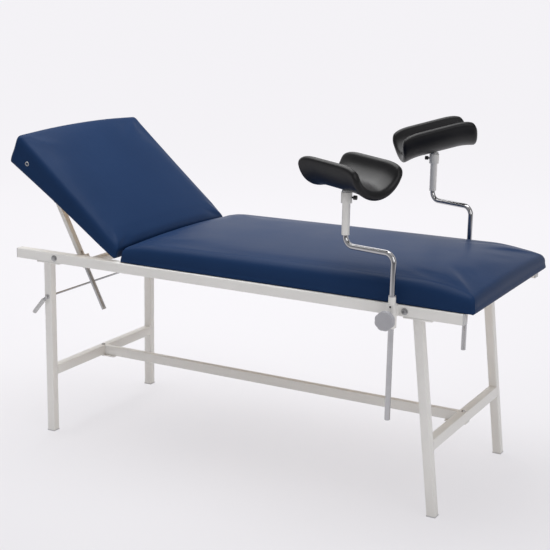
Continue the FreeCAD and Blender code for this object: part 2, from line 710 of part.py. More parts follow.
def leaf_screws(places, head_z):
    """Screws up through a plate into a board; head_z is the plate's underside."""
    screws = []
    for x, y in places:
        length = RAIL_TOP_Z + LEAF_SCREW_BITE - head_z
        shank = cylinder(V(x, y, head_z), Z_AXIS, LEAF_SCREW_R, length)
        head = cylinder(V(x, y, head_z - LEAF_SCREW_HEAD), Z_AXIS, LEAF_SCREW_HEAD_R, LEAF_SCREW_HEAD)
        screws.append(fused([shank, head]))
    return Part.makeCompound(screws)


def hinge_leaves(way, knuckles):
    """Leaves screwed under a board, each with knuckles on the hinge axis."""
    low = RAIL_TOP_Z - HINGE_LEAF
    leaves = []
    outer = HINGE_TONGUE / 2 + HINGE_LUG_GAP + HINGE_LUG
    start = HINGE_X + way * HINGE_LEAF_START
    for side in SIDES.values():
        y = side * HINGE_Y
        pieces = [box(start, start + way * HINGE_LEAF_LENGTH, y - outer, y + outer, low, RAIL_TOP_Z)]
        for y0, y1 in knuckles:
            pieces.append(box(HINGE_X - way * HINGE_LUG_R, start, y + y0, y + y1, low, RAIL_TOP_Z))
            pieces.append(box(HINGE_X - HINGE_LUG_R, HINGE_X + HINGE_LUG_R, y + y0, y + y1, low, HINGE_Z))
            pieces.append(cylinder(V(HINGE_X, y + y0, HINGE_Z), Y_AXIS, HINGE_LUG_R, y1 - y0))
        leaf = fused(pieces)
        bore = cylinder(V(HINGE_X, y - outer, HINGE_Z), Y_AXIS, HINGE_PIN_R + HINGE_RUN, 2 * outer)
        leaf = leaf.cut(bore)
        for x, screw_y in leaf_screw_places(way):
            leaf = leaf.cut(cylinder(V(x, screw_y, low), Z_AXIS, LEAF_SCREW_R + LEAF_SCREW_ROOM, HINGE_LEAF))
        leaves.append(leaf)
    return Part.makeCompound(leaves)


def seat_hinge_leaves():
    """Forked leaves under the seat board."""
    inner = HINGE_TONGUE / 2 + HINGE_LUG_GAP
    return hinge_leaves(1, ((-inner - HINGE_LUG, -inner), (inner, inner + HINGE_LUG)))


def back_hinge_leaves():
    """Tongued leaves under the back board."""
    return back_frame(hinge_leaves(-1, ((-HINGE_TONGUE / 2, HINGE_TONGUE / 2),)))


def hinge_pins():
    """Pins through the forks and tongues."""
    outer = HINGE_TONGUE / 2 + HINGE_LUG_GAP + HINGE_LUG
    bases = [V(HINGE_X, side * HINGE_Y - outer, HINGE_Z) for side in SIDES.values()]
    return Part.makeCompound([cylinder(base, Y_AXIS, HINGE_PIN_R, 2 * outer) for base in bases])


def clevis_screw_places():
    """Two screws in each strut clevis, on the back laid flat."""
    x = HINGE_X - STRUT_S
    reach = CLEVIS_LENGTH / 2 - 2 * LEAF_SCREW_HEAD_R
    return [(x + dx, side * STRUT_Y) for side in SIDES.values() for dx in (-reach, reach)]


def strut_clevises():
    """Brackets under the back board that hold the struts' pins."""
    half = STRUT_WIDTH / 2 + CLEVIS_GAP
    z = HINGE_Z + STRUT_N
    x = HINGE_X - STRUT_S
    clevises = []
    for side in SIDES.values():
        y = side * STRUT_Y
        wide = half + CLEVIS_WALL
        pieces = [box(x - CLEVIS_LENGTH / 2, x + CLEVIS_LENGTH / 2, y - wide, y + wide,
                      RAIL_TOP_Z - CLEVIS_BASE, RAIL_TOP_Z)]
        for y0 in (y - wide, y + half):
            pieces.append(cylinder(V(x, y0, z), Y_AXIS, CLEVIS_CHEEK_R, CLEVIS_WALL))
            pieces.append(box(x - CLEVIS_CHEEK_R, x + CLEVIS_CHEEK_R, y0, y0 + CLEVIS_WALL, z, RAIL_TOP_Z))
        clevis = fused(pieces).cut(cylinder(V(x, y - wide, z), Y_AXIS, STRUT_PIN_R, 2 * wide))
        for screw_x, screw_y in clevis_screw_places():
            clevis = clevis.cut(cylinder(V(screw_x, screw_y, RAIL_TOP_Z - CLEVIS_BASE), Z_AXIS,
                                         LEAF_SCREW_R + LEAF_SCREW_ROOM, CLEVIS_BASE))
        clevises.append(clevis)
    return back_frame(Part.makeCompound(clevises))


def strut_pins():
    """Headed pins through the clevises and the struts."""
    wide = STRUT_WIDTH / 2 + CLEVIS_GAP + CLEVIS_WALL
    pins = []
    for side in SIDES.values():
        y = side * STRUT_Y
        centre = V(HINGE_X - STRUT_S, y, HINGE_Z + STRUT_N)
        pieces = [cylinder(centre - V(0, wide, 0), Y_AXIS, STRUT_PIN_R, 2 * wide)]
        for way in (-1, 1):
            end = centre + V(0, way * wide, 0)
            pieces.append(cylinder(end, V(0, way, 0), STRUT_PIN_HEAD_R, STRUT_PIN_HEAD))
        pins.append(fused(pieces))
    return back_frame(Part.makeCompound(pins))


def back_screws():
    """Screws of the hinge leaves and clevises under the back board."""
    hinge = leaf_screws(leaf_screw_places(-1), RAIL_TOP_Z - HINGE_LEAF)
    clevis = leaf_screws(clevis_screw_places(), RAIL_TOP_Z - CLEVIS_BASE)
    return back_frame(Part.makeCompound(hinge.Solids + clevis.Solids))


def strut_point(along, across, y):
    """A point of a strut: along from its pin towards its free end, across towards the foot end."""
    pin = on_back(STRUT_S, STRUT_N)
    c = math.cos(math.radians(STRUT_ANGLE))
    d = math.sin(math.radians(STRUT_ANGLE))
    return V(pin.x + along * c + across * d, y, pin.z - along * d + across * c)


def strut_block(a0, a1, b0, b1, y0, y1):
    """Block in a strut's own directions."""
    outline = [strut_point(a0, b0, y0), strut_point(a1, b0, y0),
               strut_point(a1, b1, y0), strut_point(a0, b1, y0)]
    return prism(outline, V(0, y1 - y0, 0))


def guide_pivot():
    """The guide's pivot: the point of the strut's middle line at the guide's height."""
    pin = on_back(STRUT_S, STRUT_N)
    along = (pin.z - GUIDE_Z) / math.sin(math.radians(STRUT_ANGLE))
    return strut_point(along, 0, 0)


def strut_channel(side):
    """Folded channel from the clevis pin down past the guide, open towards the head end."""
    y = side * STRUT_Y
    half = STRUT_WIDTH / 2
    deep = STRUT_DEPTH / 2
    w = STRUT_WALL
    pin = on_back(STRUT_S, STRUT_N, y)
    blank = strut_block(-STRUT_END, CHANNEL_LENGTH, -deep, deep, y - half, y + half)
    blank = blank.cut(strut_block(-STRUT_END, CHANNEL_LENGTH, -deep, deep - w, y - half + w, y + half - w))
    return blank.cut(cylinder(pin - V(0, half, 0), Y_AXIS, STRUT_PIN_R + RUNNING_FIT, STRUT_WIDTH))


def rivet_places():
    """Distances along a strut of the rivets that hold the bar in the channel."""
    first = CHANNEL_LENGTH - BAR_OVERLAP + BAR_WIDTH
    return (first, CHANNEL_LENGTH - BAR_WIDTH)


def rivet_cylinder(side, along, b0, b1, radius):
    """Round piece across a strut at a rivet's place."""
    base = strut_point(along, b0, side * STRUT_Y)
    axis = strut_point(along, b1, side * STRUT_Y) - base
    return cylinder(base, axis, radius, b1 - b0)


def strut_bar(side):
    """Plated flat bar riveted into the channel, with a square free end."""
    y = side * STRUT_Y
    half = BAR_WIDTH / 2
    top = STRUT_DEPTH / 2 - STRUT_WALL
    end = CHANNEL_LENGTH + BAR_REACH
    bar = strut_block(CHANNEL_LENGTH - BAR_OVERLAP, end, top - BAR_DEPTH, top, y - half, y + half)
    for along in rivet_places():
        bar = bar.cut(rivet_cylinder(side, along, top - BAR_DEPTH, top, STRUT_RIVET_R))
    return bar


def drilled_channel(side):
    """Channel with its rivet holes."""
    channel = strut_channel(side)
    top = STRUT_DEPTH / 2
    for along in rivet_places():
        channel = channel.cut(rivet_cylinder(side, along, top - STRUT_WALL, top, STRUT_RIVET_R))
    return channel


def strut_rivets(side):
    """Round-headed rivets through the channel and the bar."""
    top = STRUT_DEPTH / 2
    low = top - STRUT_WALL - BAR_DEPTH
    rivets = []
    for along in rivet_places():
        shank = rivet_cylinder(side, along, low, top, STRUT_RIVET_R)
        head = rivet_cylinder(side, along, top, top + STRUT_RIVET_HEAD, STRUT_RIVET_HEAD_R)
        rivets.append(fused([shank, head]))
    return Part.makeCompound(rivets)


def strut_guide(side):
    """Open sleeve round the strut, swivelling on its stub pin in the rail's inner wall."""
    along = (on_back(STRUT_S, STRUT_N).z - GUIDE_Z) / math.sin(math.radians(STRUT_ANGLE))
    y = side * STRUT_Y
    half = STRUT_WIDTH / 2 + GUIDE_SIDE_GAP
    a0 = along - GUIDE_LENGTH / 2
    a1 = along + GUIDE_LENGTH / 2
    w = GUIDE_WALL
    sleeve = strut_block(a0, a1, -GUIDE_SLOT - w, GUIDE_SLOT + w, y - half - w, y + half + w)
    sleeve = sleeve.cut(strut_block(a0, a1, -GUIDE_SLOT, GUIDE_SLOT, y - half, y + half))
    pivot = guide_pivot()
    start = STRUT_Y + half + w
    length = RAIL_INNER_Y + RAIL_WALL + GUIDE_PIN_IN - start
    return fused([sleeve, cylinder(V(pivot.x, side * start, pivot.z), V(0, side, 0), GUIDE_PIN_R, length)])


def roll_bushes():
    """Flanged bushes in the head legs that the roll rod turns in."""
    bushes = []
    for side in SIDES.values():
        base = V(ROLL_X, side * LEG_INNER_Y, ROLL_Z)
        along = V(0, side, 0)
        tube = cylinder(base, along, ROLL_BUSH_R, LEG_SIZE)
        flange = cylinder(base + along * LEG_SIZE, along, ROLL_BUSH_FLANGE_R, ROLL_BUSH_FLANGE)
        bore = cylinder(base, along, ROLL_ROD_R + ROLL_RUN, LEG_SIZE + ROLL_BUSH_FLANGE)
        bushes.append(fused([tube, flange]).cut(bore))
    return Part.makeCompound(bushes)


def roll_arm():
    """Direction of the roll rod's bent arm: towards the head and down."""
    a = math.radians(ROLL_ARM_ANGLE)
    return V(-math.cos(a), 0, -math.sin(a))


def bent_rod(points, bend, radius):
    """Round bar along straight runs joined by tangent arcs at the inner points."""
    edges = []
    start = points[0]
    for i in range(1, len(points) - 1):
        before = (points[i - 1] - points[i]).normalize()
        after = (points[i + 1] - points[i]).normalize()
        turn = math.pi - before.getAngle(after)
        cut = bend * math.tan(turn / 2)
        a = points[i] + before * cut
        b = points[i] + after * cut
        inward = (before + after).normalize()
        mid = points[i] + inward * (bend / math.cos(turn / 2) - bend)
        edges += [Part.LineSegment(start, a).toShape(), Part.Arc(a, mid, b).toShape()]
        start = b
    edges.append(Part.LineSegment(start, points[-1]).toShape())
    path = Part.Wire(edges)
    first = (points[1] - points[0]).normalize()
    ring = Part.Wire([Part.Circle(points[0], first, radius).toShape()])
    return path.makePipeShell([ring], True, True)


def roll_rod():
    """Chromed rod across the legs, bent outside the right leg into an arm."""
    far = V(ROLL_X, LEG_OUTER_Y + ROLL_BUSH_FLANGE + ROLL_END, ROLL_Z)
    corner = V(ROLL_X, -LEG_OUTER_Y - ROLL_ARM_OUT, ROLL_Z)
    tip = corner + roll_arm() * (ROLL_ARM - GRIP_CAP)
    return bent_rod([far, corner, tip], ROLL_BEND_R, ROLL_ROD_R)


def roll_grip():
    """Plastic grip pushed on the roll rod's arm."""
    corner = V(ROLL_X, -LEG_OUTER_Y - ROLL_ARM_OUT, ROLL_Z)
    along = roll_arm()
    base = corner + along * (ROLL_ARM - GRIP_LENGTH)
    grip = cylinder(base, along, GRIP_R, GRIP_LENGTH)
    return grip.cut(cylinder(base, along, ROLL_ROD_R, GRIP_LENGTH - GRIP_CAP))


def socket(name):
    """Welded socket on the rail's outer face that takes a leg-holder rod."""
    side = SIDES[name]
    x = SOCKET_X[name]
    half = SOCKET_SIZE / 2
    block = box(x - half, x + half, side * (ROD_Y - half), side * (ROD_Y + half),
                SOCKET_TOP_Z - SOCKET_LENGTH, SOCKET_TOP_Z - SOCKET_NECK)
    front = side * (ROD_Y + half)
    tall = [e for e in block.Edges if e.BoundBox.ZLength > half]
    upright = [e for e in tall if abs(e.BoundBox.YMin - front) < SOCKET_CHAMFER]
    block = block.makeChamfer(SOCKET_CHAMFER, upright)
    plate = box(x - SOCKET_PLATE_WIDTH / 2, x + SOCKET_PLATE_WIDTH / 2, side * RAIL_OUTER_Y,
                side * (RAIL_OUTER_Y + SOCKET_PLATE), RAIL_MID_Z - SOCKET_PLATE_HEIGHT / 2,
                RAIL_MID_Z + SOCKET_PLATE_HEIGHT / 2)
    neck = cylinder(V(x, side * ROD_Y, SOCKET_TOP_Z - SOCKET_NECK), Z_AXIS, SOCKET_NECK_R, SOCKET_NECK)
    body = fused([block, plate, neck])
    bore = cylinder(V(x, side * ROD_Y, SOCKET_TOP_Z - SOCKET_LENGTH), Z_AXIS,
                    BUSH_R + RUNNING_FIT, SOCKET_LENGTH)
    thread = cylinder(V(x, side * ROD_Y, KNOB_Z), V(0, side, 0), SPINDLE_R + RUNNING_FIT, SOCKET_SIZE)
    screw = cylinder(V(x, side * ROD_Y, SET_SCREW_Z), V(0, side, 0), SET_SCREW_R, SOCKET_SIZE)
    return body.cut(bore).cut(thread).cut(screw)


def socket_bush(name):
    """Flanged liner that turns in the socket while the rod slides in it."""
    side = SIDES[name]
    base = V(SOCKET_X[name], side * ROD_Y, SOCKET_TOP_Z - SOCKET_LENGTH)
    tube = cylinder(base, Z_AXIS, BUSH_R, SOCKET_LENGTH)
    flange = cylinder(base + V(0, 0, SOCKET_LENGTH), Z_AXIS, BUSH_FLANGE_R, BUSH_FLANGE)
    return fused([tube, flange]).cut(cylinder(base, Z_AXIS, ROD_R + RUNNING_FIT, SOCKET_LENGTH + BUSH_FLANGE))


def socket_knob(name):
    """Scalloped hand knob with its hub."""
    side = SIDES[name]
    out = V(0, side, 0)
    base = V(SOCKET_X[name], side * (ROD_Y + KNOB_STANDOFF), KNOB_Z)
    knob = cylinder(base, out, KNOB_R, KNOB_THICK)
    for i in range(KNOB_SCALLOPS):
        a = 2 * math.pi * i / KNOB_SCALLOPS
        notch = base + V(math.cos(a), 0, math.sin(a)) * KNOB_SCALLOP_PITCH
        knob = knob.cut(cylinder(notch, out, KNOB_SCALLOP_R, KNOB_THICK))
    hub = cylinder(base - out * KNOB_HUB, out, KNOB_HUB_R, KNOB_HUB)
    spindle_hole = cylinder(base - out * KNOB_HUB, out, SPINDLE_R, KNOB_HUB + KNOB_THICK / 2)
    return fused([knob, hub]).cut(spindle_hole)


def socket_spindle(name):
    """Threaded spindle from the knob to the liner."""
    side = SIDES[name]
    tip = BUSH_R + SPINDLE_GAP
    length = KNOB_STANDOFF + KNOB_THICK / 2 - tip
    return cylinder(V(SOCKET_X[name], side * (ROD_Y + tip), KNOB_Z), V(0, side, 0), SPINDLE_R, length)


def socket_set_screws():
    """Small set screws in the sockets' faces."""
    screws = []
    for name, side in SIDES.items():
        tip = BUSH_R + SPINDLE_GAP
        length = SOCKET_SIZE / 2 + SET_SCREW_OUT - tip
        screws.append(cylinder(V(SOCKET_X[name], side * (ROD_Y + tip), SET_SCREW_Z), V(0, side, 0),
                               SET_SCREW_R, length))
    return Part.makeCompound(screws)


def crank_way(name):
    """Direction of a crank from the socket's axis to the post."""
    a = math.radians(CRANK_ANGLE[name])
    return V(math.cos(a), math.sin(a), 0)


def post_base(name):
    """The point on the post's axis at the height of the crank's level run."""
    return V(SOCKET_X[name], SIDES[name] * ROD_Y, ROD_RUN_Z[name]) + crank_way(name) * CRANK_OFFSET


def cranked_rod(name):
    """Chromed rod: up through the socket, level along the crank and up into the post."""
    corner = V(SOCKET_X[name], SIDES[name] * ROD_Y, ROD_RUN_Z[name])
    turn = post_base(name)
    points = [corner - V(0, 0, ROD_DROP), corner, turn, turn + V(0, 0, ROD_RISE)]
    return bent_rod(points, CRANK_BEND_R, ROD_R)


def collar_way(name):
    """Direction of the collar's clamping screw."""
    a = math.radians(COLLAR_SCREW_ANGLE[name])
    return V(math.cos(a), math.sin(a), 0)


def post(name):
    """Painted tube over the rod's upper end, with a wider collar for the shell's stem welded on top."""
    foot = post_base(name) + V(0, 0, POST_START)
    base = foot + V(0, 0, POST_LENGTH)
    tube = cylinder(foot, Z_AXIS, POST_R, POST_LENGTH)
    tube = tube.cut(cylinder(foot, Z_AXIS, ROD_R + POST_ROOM, POST_LENGTH))
    body = cylinder(base, Z_AXIS, COLLAR_R, COLLAR_LENGTH)
    bore = cylinder(base + V(0, 0, COLLAR_FLOOR), Z_AXIS, STEM_R + RUNNING_FIT, COLLAR_LENGTH)
    screw = cylinder(base + V(0, 0, COLLAR_SCREW_DROP), collar_way(name),
                     COLLAR_SCREW_R + RUNNING_FIT, COLLAR_R)
    return fused([tube, body.cut(bore).cut(screw)])


def collar_screw(name):
    """Small clamping screw in the collar."""
    way = collar_way(name)
    base = post_base(name) + V(0, 0, POST_START + POST_LENGTH + COLLAR_SCREW_DROP)
    tip = STEM_R + RUNNING_FIT + SPINDLE_GAP
    head = COLLAR_R + COLLAR_SCREW_STAND
    shank = cylinder(base + way * tip, way, COLLAR_SCREW_R, head - tip)
    return fused([shank, cylinder(base + way * head, way, COLLAR_SCREW_HEAD_R, COLLAR_SCREW_HEAD)])


def shell_turn(name, shape):
    """Put a shape drawn about a post's axis at the swivel that the shell rests at."""
    shape.rotate(V(0, 0, 0), Z_AXIS, SHELL_SWIVEL[name])
    shape.translate(post_base(name))
    return shape


def shell_tilt(name, shape):
    """Give a shape drawn about a post's axis the pitch and swivel that the shell rests at."""
    shape.rotate(V(0, 0, SHELL_TILT_Z), Y_AXIS, -SHELL_PITCH[name])
    return shell_turn(name, shape)


def shell_carrier(name):
    """Stem in the collar with a tongue that the shell tilts on."""
    top = POST_START + POST_LENGTH + COLLAR_LENGTH
    half = TONGUE_WIDTH / 2
    stem = cylinder(V(0, 0, top - STEM_LENGTH), Z_AXIS, STEM_R, STEM_LENGTH)
    neck = cylinder(V(0, 0, top), Z_AXIS, NECK_R, NECK_HEIGHT)
    tongue = box(-TONGUE_R, TONGUE_R, -half, half, top, SHELL_TILT_Z)
    knuckle = cylinder(V(0, -half, SHELL_TILT_Z), Y_AXIS, TONGUE_R, TONGUE_WIDTH)
    bore = cylinder(V(0, -half, SHELL_TILT_Z), Y_AXIS, TILT_PIN_R + RUNNING_FIT, TONGUE_WIDTH)
    return shell_turn(name, fused([stem, neck, tongue, knuckle]).cut(bore))


def shell_bracket(name):
    """Steel fork in the shell's pocket, with the tilting joint's pin pressed in."""
    roof = SHELL_TILT_Z - TILT_HEIGHT + POCKET_DEPTH
    u = POCKET_U - POCKET_ROOM
    v = POCKET_V - POCKET_ROOM
    inner = TONGUE_WIDTH / 2 + CHEEK_GAP
    pieces = [box(-u, u, -v, v, roof - POCKET_PLATE, roof)]
    for y0 in (-inner - CHEEK, inner):
        pieces.append(cylinder(V(0, y0, SHELL_TILT_Z), Y_AXIS, CHEEK_R, CHEEK))
        pieces.append(box(-CHEEK_R, CHEEK_R, y0, y0 + CHEEK, SHELL_TILT_Z, roof - POCKET_PLATE))
    pieces.append(cylinder(V(0, -inner - CHEEK, SHELL_TILT_Z), Y_AXIS, TILT_PIN_R, 2 * (inner + CHEEK)))
    return shell_tilt(name, fused(pieces))


def shell_section(u, z, thin, drop):
    """Trough outline across a shell: outer arc, rolled lips and inner arc."""
    b = SHELL_HALF_WIDTH
    lip = SHELL_LIP * thin
    floor = SHELL_FLOOR * thin
    low = z + (SHELL_FLOOR - floor) / 2 - drop
    lip_z = z + SHELL_LIP_Z - drop
    crest = lip_z + lip * LIP_ROUND

    def p(v, w):
        return V(u, v, w)

    edges = [Part.Arc(p(-b - lip, lip_z), p(0, low), p(b + lip, lip_z)),
             Part.Arc(p(b + lip, lip_z), p(b, crest), p(b - lip, lip_z)),
             Part.Arc(p(b - lip, lip_z), p(0, low + floor), p(lip - b, lip_z)),
             Part.Arc(p(lip - b, lip_z), p(-b, crest), p(-b - lip, lip_z))]
    return Part.Wire([e.toShape() for e in edges])


def shell_stations():
    """Places along a shell, each with its share of the wall's thickness, finer at the rims."""
    end = SHELL_HALF_LENGTH
    steps = []
    for i in range(RIM_STEPS + 1):
        a = math.pi / 2 * i / RIM_STEPS
        steps.append((SHELL_RIM * (1 - math.cos(a)) - end, RIM_THIN + (1 - RIM_THIN) * math.sin(a)))
    inner = end - SHELL_RIM
    middle = [(2 * inner * i / SHELL_STEPS - inner, 1.0) for i in range(1, SHELL_STEPS)]
    return steps + middle + [(-u, thin) for u, thin in reversed(steps)]


def shell_drop(u):
    """How far a shell turns down at a place along it."""
    share = max(0.0, SHELL_FLARE - SHELL_HALF_LENGTH + abs(u)) / SHELL_FLARE
    return SHELL_END_DROP * share ** 2


def shell_side(z):
    """Side view of a shell with its lip corners rounded off."""
    u = SHELL_HALF_LENGTH
    r = SHELL_CORNER
    k = r * (1 - math.cos(math.pi / 4))
    low = z - 2 * SHELL_END_DROP
    top = z + SHELL_LIP_Z + SHELL_LIP
    v = SHELL_HALF_WIDTH * 2

    def p(a, w):
        return V(a, -v, w)

    edges = [Part.LineSegment(p(-u, low), p(u, low)), Part.LineSegment(p(u, low), p(u, top - r)),
             Part.Arc(p(u, top - r), p(u - k, top - k), p(u - r, top)),
             Part.LineSegment(p(u - r, top), p(r - u, top)),
             Part.Arc(p(r - u, top), p(k - u, top - k), p(-u, top - r)),
             Part.LineSegment(p(-u, top - r), p(-u, low))]
    return Part.Face(Part.Wire([e.toShape() for e in edges])).extrude(V(0, 2 * v, 0))


def shell(name):
    """Moulded trough with thick rolled rims that turn down at both ends."""
    z = SHELL_TILT_Z - TILT_HEIGHT
    wires = [shell_section(u, z, thin, shell_drop(u)) for u, thin in shell_stations()]
    trough = Part.makeLoft(wires, True, True).common(shell_side(z))
    trough.translate(V(SHELL_AHEAD, 0, 0))
    pocket = box(-POCKET_U, POCKET_U, -POCKET_V, POCKET_V, z - SHELL_END_DROP, z + POCKET_DEPTH)
    return shell_tilt(name, trough.cut(pocket))


def couch_nodes():
    """Every piece by its node's name."""
    nodes = {"rail_end_plugs": rail_end_plugs(), "back_cross_tube": cross_tube(STRUT_CROSS_X),
             "seat_cross_tubes": seat_cross_tubes(),
             "foot_caps": foot_caps(), "head_crossbar": head_crossbar(), "foot_crossbar": foot_crossbar(),
             "stretcher": stretcher(), "stretcher_bolts": stretcher_bolts(),
             "leg_brackets": leg_brackets(), "leg_bolts": leg_bolts(),
             "seat_board": seat_board(), "seat_pad": seat_pad(),
             "seat_screws": seat_screws(), "seat_hinge_leaves": seat_hinge_leaves(),
             "hinge_pins": hinge_pins(), "back_hinge_leaves": back_hinge_leaves(),
             "back_screws": back_screws(), "back_board": back_board(), "back_pad": back_pad(),
             "vent_eyelets": vent_eyelets(), "strut_clevises": strut_clevises(),
             "strut_pins": strut_pins(), "roll_bushes": roll_bushes(), "roll_rod": roll_rod(),
             "roll_grip": roll_grip(), "socket_set_screws": socket_set_screws()}
    for name, side in SIDES.items():
        nodes[name + "_side_rail"] = side_rail(side)
        nodes[name + "_head_leg"] = head_leg(side)
        nodes[name + "_foot_leg"] = foot_leg(side)
        nodes[name + "_strut_channel"] = drilled_channel(side)
        nodes[name + "_strut_bar"] = strut_bar(side)
        nodes[name + "_strut_rivets"] = strut_rivets(side)
        nodes[name + "_strut_guide"] = strut_guide(side)
        nodes[name + "_socket"] = socket(name)
        nodes[name + "_socket_bush"] = socket_bush(name)
        nodes[name + "_socket_knob"] = socket_knob(name)
        nodes[name + "_socket_spindle"] = socket_spindle(name)
        nodes[name + "_cranked_rod"] = cranked_rod(name)
        nodes[name + "_post"] = post(name)
        nodes[name + "_collar_screw"] = collar_screw(name)
        nodes[name + "_shell_carrier"] = shell_carrier(name)
        nodes[name + "_shell_bracket"] = shell_bracket(name)
        nodes[name + "_shell"] = shell(name)
    return nodes


os.makedirs("parts", exist_ok=True)
NODES = couch_nodes()
for node, shape in NODES.items():
    shape.translate(DATUM * -1)
    shape.exportStep("parts/" + node + ".step")
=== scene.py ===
import json
import math
import bpy
from mathutils import Matrix, Vector

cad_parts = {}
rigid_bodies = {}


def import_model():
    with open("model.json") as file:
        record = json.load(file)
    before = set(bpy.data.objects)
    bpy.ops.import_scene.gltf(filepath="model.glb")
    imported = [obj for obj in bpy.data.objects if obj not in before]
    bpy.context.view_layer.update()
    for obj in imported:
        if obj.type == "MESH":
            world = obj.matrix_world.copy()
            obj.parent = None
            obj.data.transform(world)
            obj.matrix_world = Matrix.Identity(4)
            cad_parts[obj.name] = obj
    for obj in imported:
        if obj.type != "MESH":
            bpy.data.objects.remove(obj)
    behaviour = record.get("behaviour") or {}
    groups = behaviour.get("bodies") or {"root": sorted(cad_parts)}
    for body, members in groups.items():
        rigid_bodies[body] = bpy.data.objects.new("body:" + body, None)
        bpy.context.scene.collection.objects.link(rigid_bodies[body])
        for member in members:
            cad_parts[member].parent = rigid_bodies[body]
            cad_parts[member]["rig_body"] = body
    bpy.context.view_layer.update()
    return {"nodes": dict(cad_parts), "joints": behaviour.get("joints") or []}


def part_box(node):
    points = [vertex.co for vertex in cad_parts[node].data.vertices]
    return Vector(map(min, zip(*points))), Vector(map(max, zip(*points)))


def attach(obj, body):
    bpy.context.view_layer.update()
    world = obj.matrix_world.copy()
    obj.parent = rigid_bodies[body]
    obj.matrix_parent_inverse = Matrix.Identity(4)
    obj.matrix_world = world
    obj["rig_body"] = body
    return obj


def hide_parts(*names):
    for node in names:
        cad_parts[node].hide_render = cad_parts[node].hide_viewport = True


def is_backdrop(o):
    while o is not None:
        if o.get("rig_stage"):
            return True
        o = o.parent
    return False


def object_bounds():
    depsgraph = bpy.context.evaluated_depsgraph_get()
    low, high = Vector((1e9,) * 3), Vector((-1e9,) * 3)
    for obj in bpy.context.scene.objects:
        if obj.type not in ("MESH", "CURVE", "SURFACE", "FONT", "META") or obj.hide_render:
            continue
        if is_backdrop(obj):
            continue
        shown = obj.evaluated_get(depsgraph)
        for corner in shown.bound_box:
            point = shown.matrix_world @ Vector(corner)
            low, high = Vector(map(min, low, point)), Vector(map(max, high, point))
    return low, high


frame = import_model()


# The camera stands at the couch's foot end on the patient's right, at about head height,
# with a long lens, turned very slightly about its line of sight.
scene = bpy.context.scene
scene.view_settings.view_transform = "Standard"
azimuth, elevation, roll = (math.radians(a) for a in (28.136, 13.601, 1.098))
back_way = Vector((math.sin(azimuth) * math.cos(elevation), -math.cos(azimuth) * math.cos(elevation),
                   math.sin(elevation)))
level_way = Vector((math.cos(azimuth), math.sin(azimuth), 0))
upper_way = back_way.cross(level_way)
right_way = level_way * math.cos(roll) + upper_way * math.sin(roll)
upper_way = upper_way * math.cos(roll) - level_way * math.sin(roll)
camera = bpy.data.objects.new("camera", bpy.data.cameras.new("camera"))
scene.collection.objects.link(camera)
camera.data.lens = 83.95
camera.data.sensor_width = 36.0
camera.matrix_world = Matrix((right_way, upper_way, back_way)).transposed().to_4x4()
camera.location = (2.8272, -3.5709, 1.6889)
scene.camera = camera


# The studio is a pale floor that runs on into the distance and darkens on the camera's side, a large
# light box overhead, a weaker one at the foot end, and a room that is brighter behind the couch, so
# that the chrome has something to show.
class Feed:
    """A shader socket that adds and multiplies like a number."""

    def __init__(self, tree, socket=None):
        self.tree = tree
        self.socket = socket

    def node(self, kind, settings, values, out=0):
        made = self.tree.nodes.new(kind)
        for key, value in settings.items():
            setattr(made, key, value)
        for key, value in values.items():
            if isinstance(value, Feed):
                self.tree.links.new(value.socket, made.inputs[key])
            else:
                made.inputs[key].default_value = value
        return Feed(self.tree, made.outputs[out] if made.outputs else None)

    def math(self, operation, other):
        return self.node("ShaderNodeMath", {"operation": operation}, {0: self, 1: other})

    def __add__(self, other):
        return self.math("ADD", other)

    def __mul__(self, other):
        return self.math("MULTIPLY", other)

    __radd__ = __add__
    __rmul__ = __mul__


def new_finish(name):
    """An empty material, and the object coordinates that its pattern starts from."""
    finish = bpy.data.materials.new(name)
    finish.use_nodes = True
    finish.node_tree.nodes.clear()
    return finish, Feed(finish.node_tree).node("ShaderNodeTexCoord", {}, {}, "Object")


def along(place, way):
    """How far a place lies along a direction."""
    return place.node("ShaderNodeVectorMath", {"operation": "DOT_PRODUCT"}, {0: place, 1: way}, 1)


def ease(value, low, high):
    """A soft step from 0 to 1 as a value goes from low to high."""
    return value.node("ShaderNodeMapRange", {"interpolation_type": "SMOOTHSTEP"},
                      {"Value": value, "From Min": low, "From Max": high})


def tinted(share, dark, light):
    """A colour between two others."""
    return share.node("ShaderNodeMix", {"data_type": "RGBA"}, {0: share, 6: dark, 7: light}, 2)


def deselect():
    if bpy.context.object and bpy.context.object.mode != "OBJECT":
        bpy.ops.object.mode_set(mode="OBJECT")
    bpy.ops.object.select_all(action="DESELECT")


floor_size, floor_middle = 300, (0.75, 0.318, 0)
floor_away, room_away = (-0.472, 0.882, 0), (-0.47, 0.88, 0)
deselect()
bpy.ops.mesh.primitive_plane_add(size=floor_size, location=floor_middle)
floor = bpy.context.object
floor.name = "floor"
floor_paper, place = new_finish("floor_paper")
away = along(place, floor_away)
paper = tinted(ease(away, -2.5, 5.0), (0.69, 0.68, 0.71, 1), (1.0, 0.985, 1.02, 1))
paper = tinted(ease(away, -5.0, -1.2), (0.07, 0.07, 0.074, 1), paper)
sheet = place.node("ShaderNodeBsdfDiffuse", {}, {"Color": (0.88, 0.87, 0.885, 1)})
pale = place.node("ShaderNodeEmission", {}, {"Color": paper, "Strength": 1.07})
seen = place.node("ShaderNodeLightPath", {}, {}, "Is Camera Ray")
for ray in ("Is Glossy Ray", "Is Transmission Ray"):
    seen = seen.math("MAXIMUM", place.node("ShaderNodeLightPath", {}, {}, ray))
ground = place.node("ShaderNodeMixShader", {}, {0: seen * 0.74, 1: sheet, 2: pale})
place.node("ShaderNodeOutputMaterial", {}, {"Surface": ground})
floor.data.materials.append(floor_paper)
floor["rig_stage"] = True

scene.world = bpy.data.worlds.new("studio")
scene.world.use_nodes = True
scene.world.node_tree.nodes.clear()
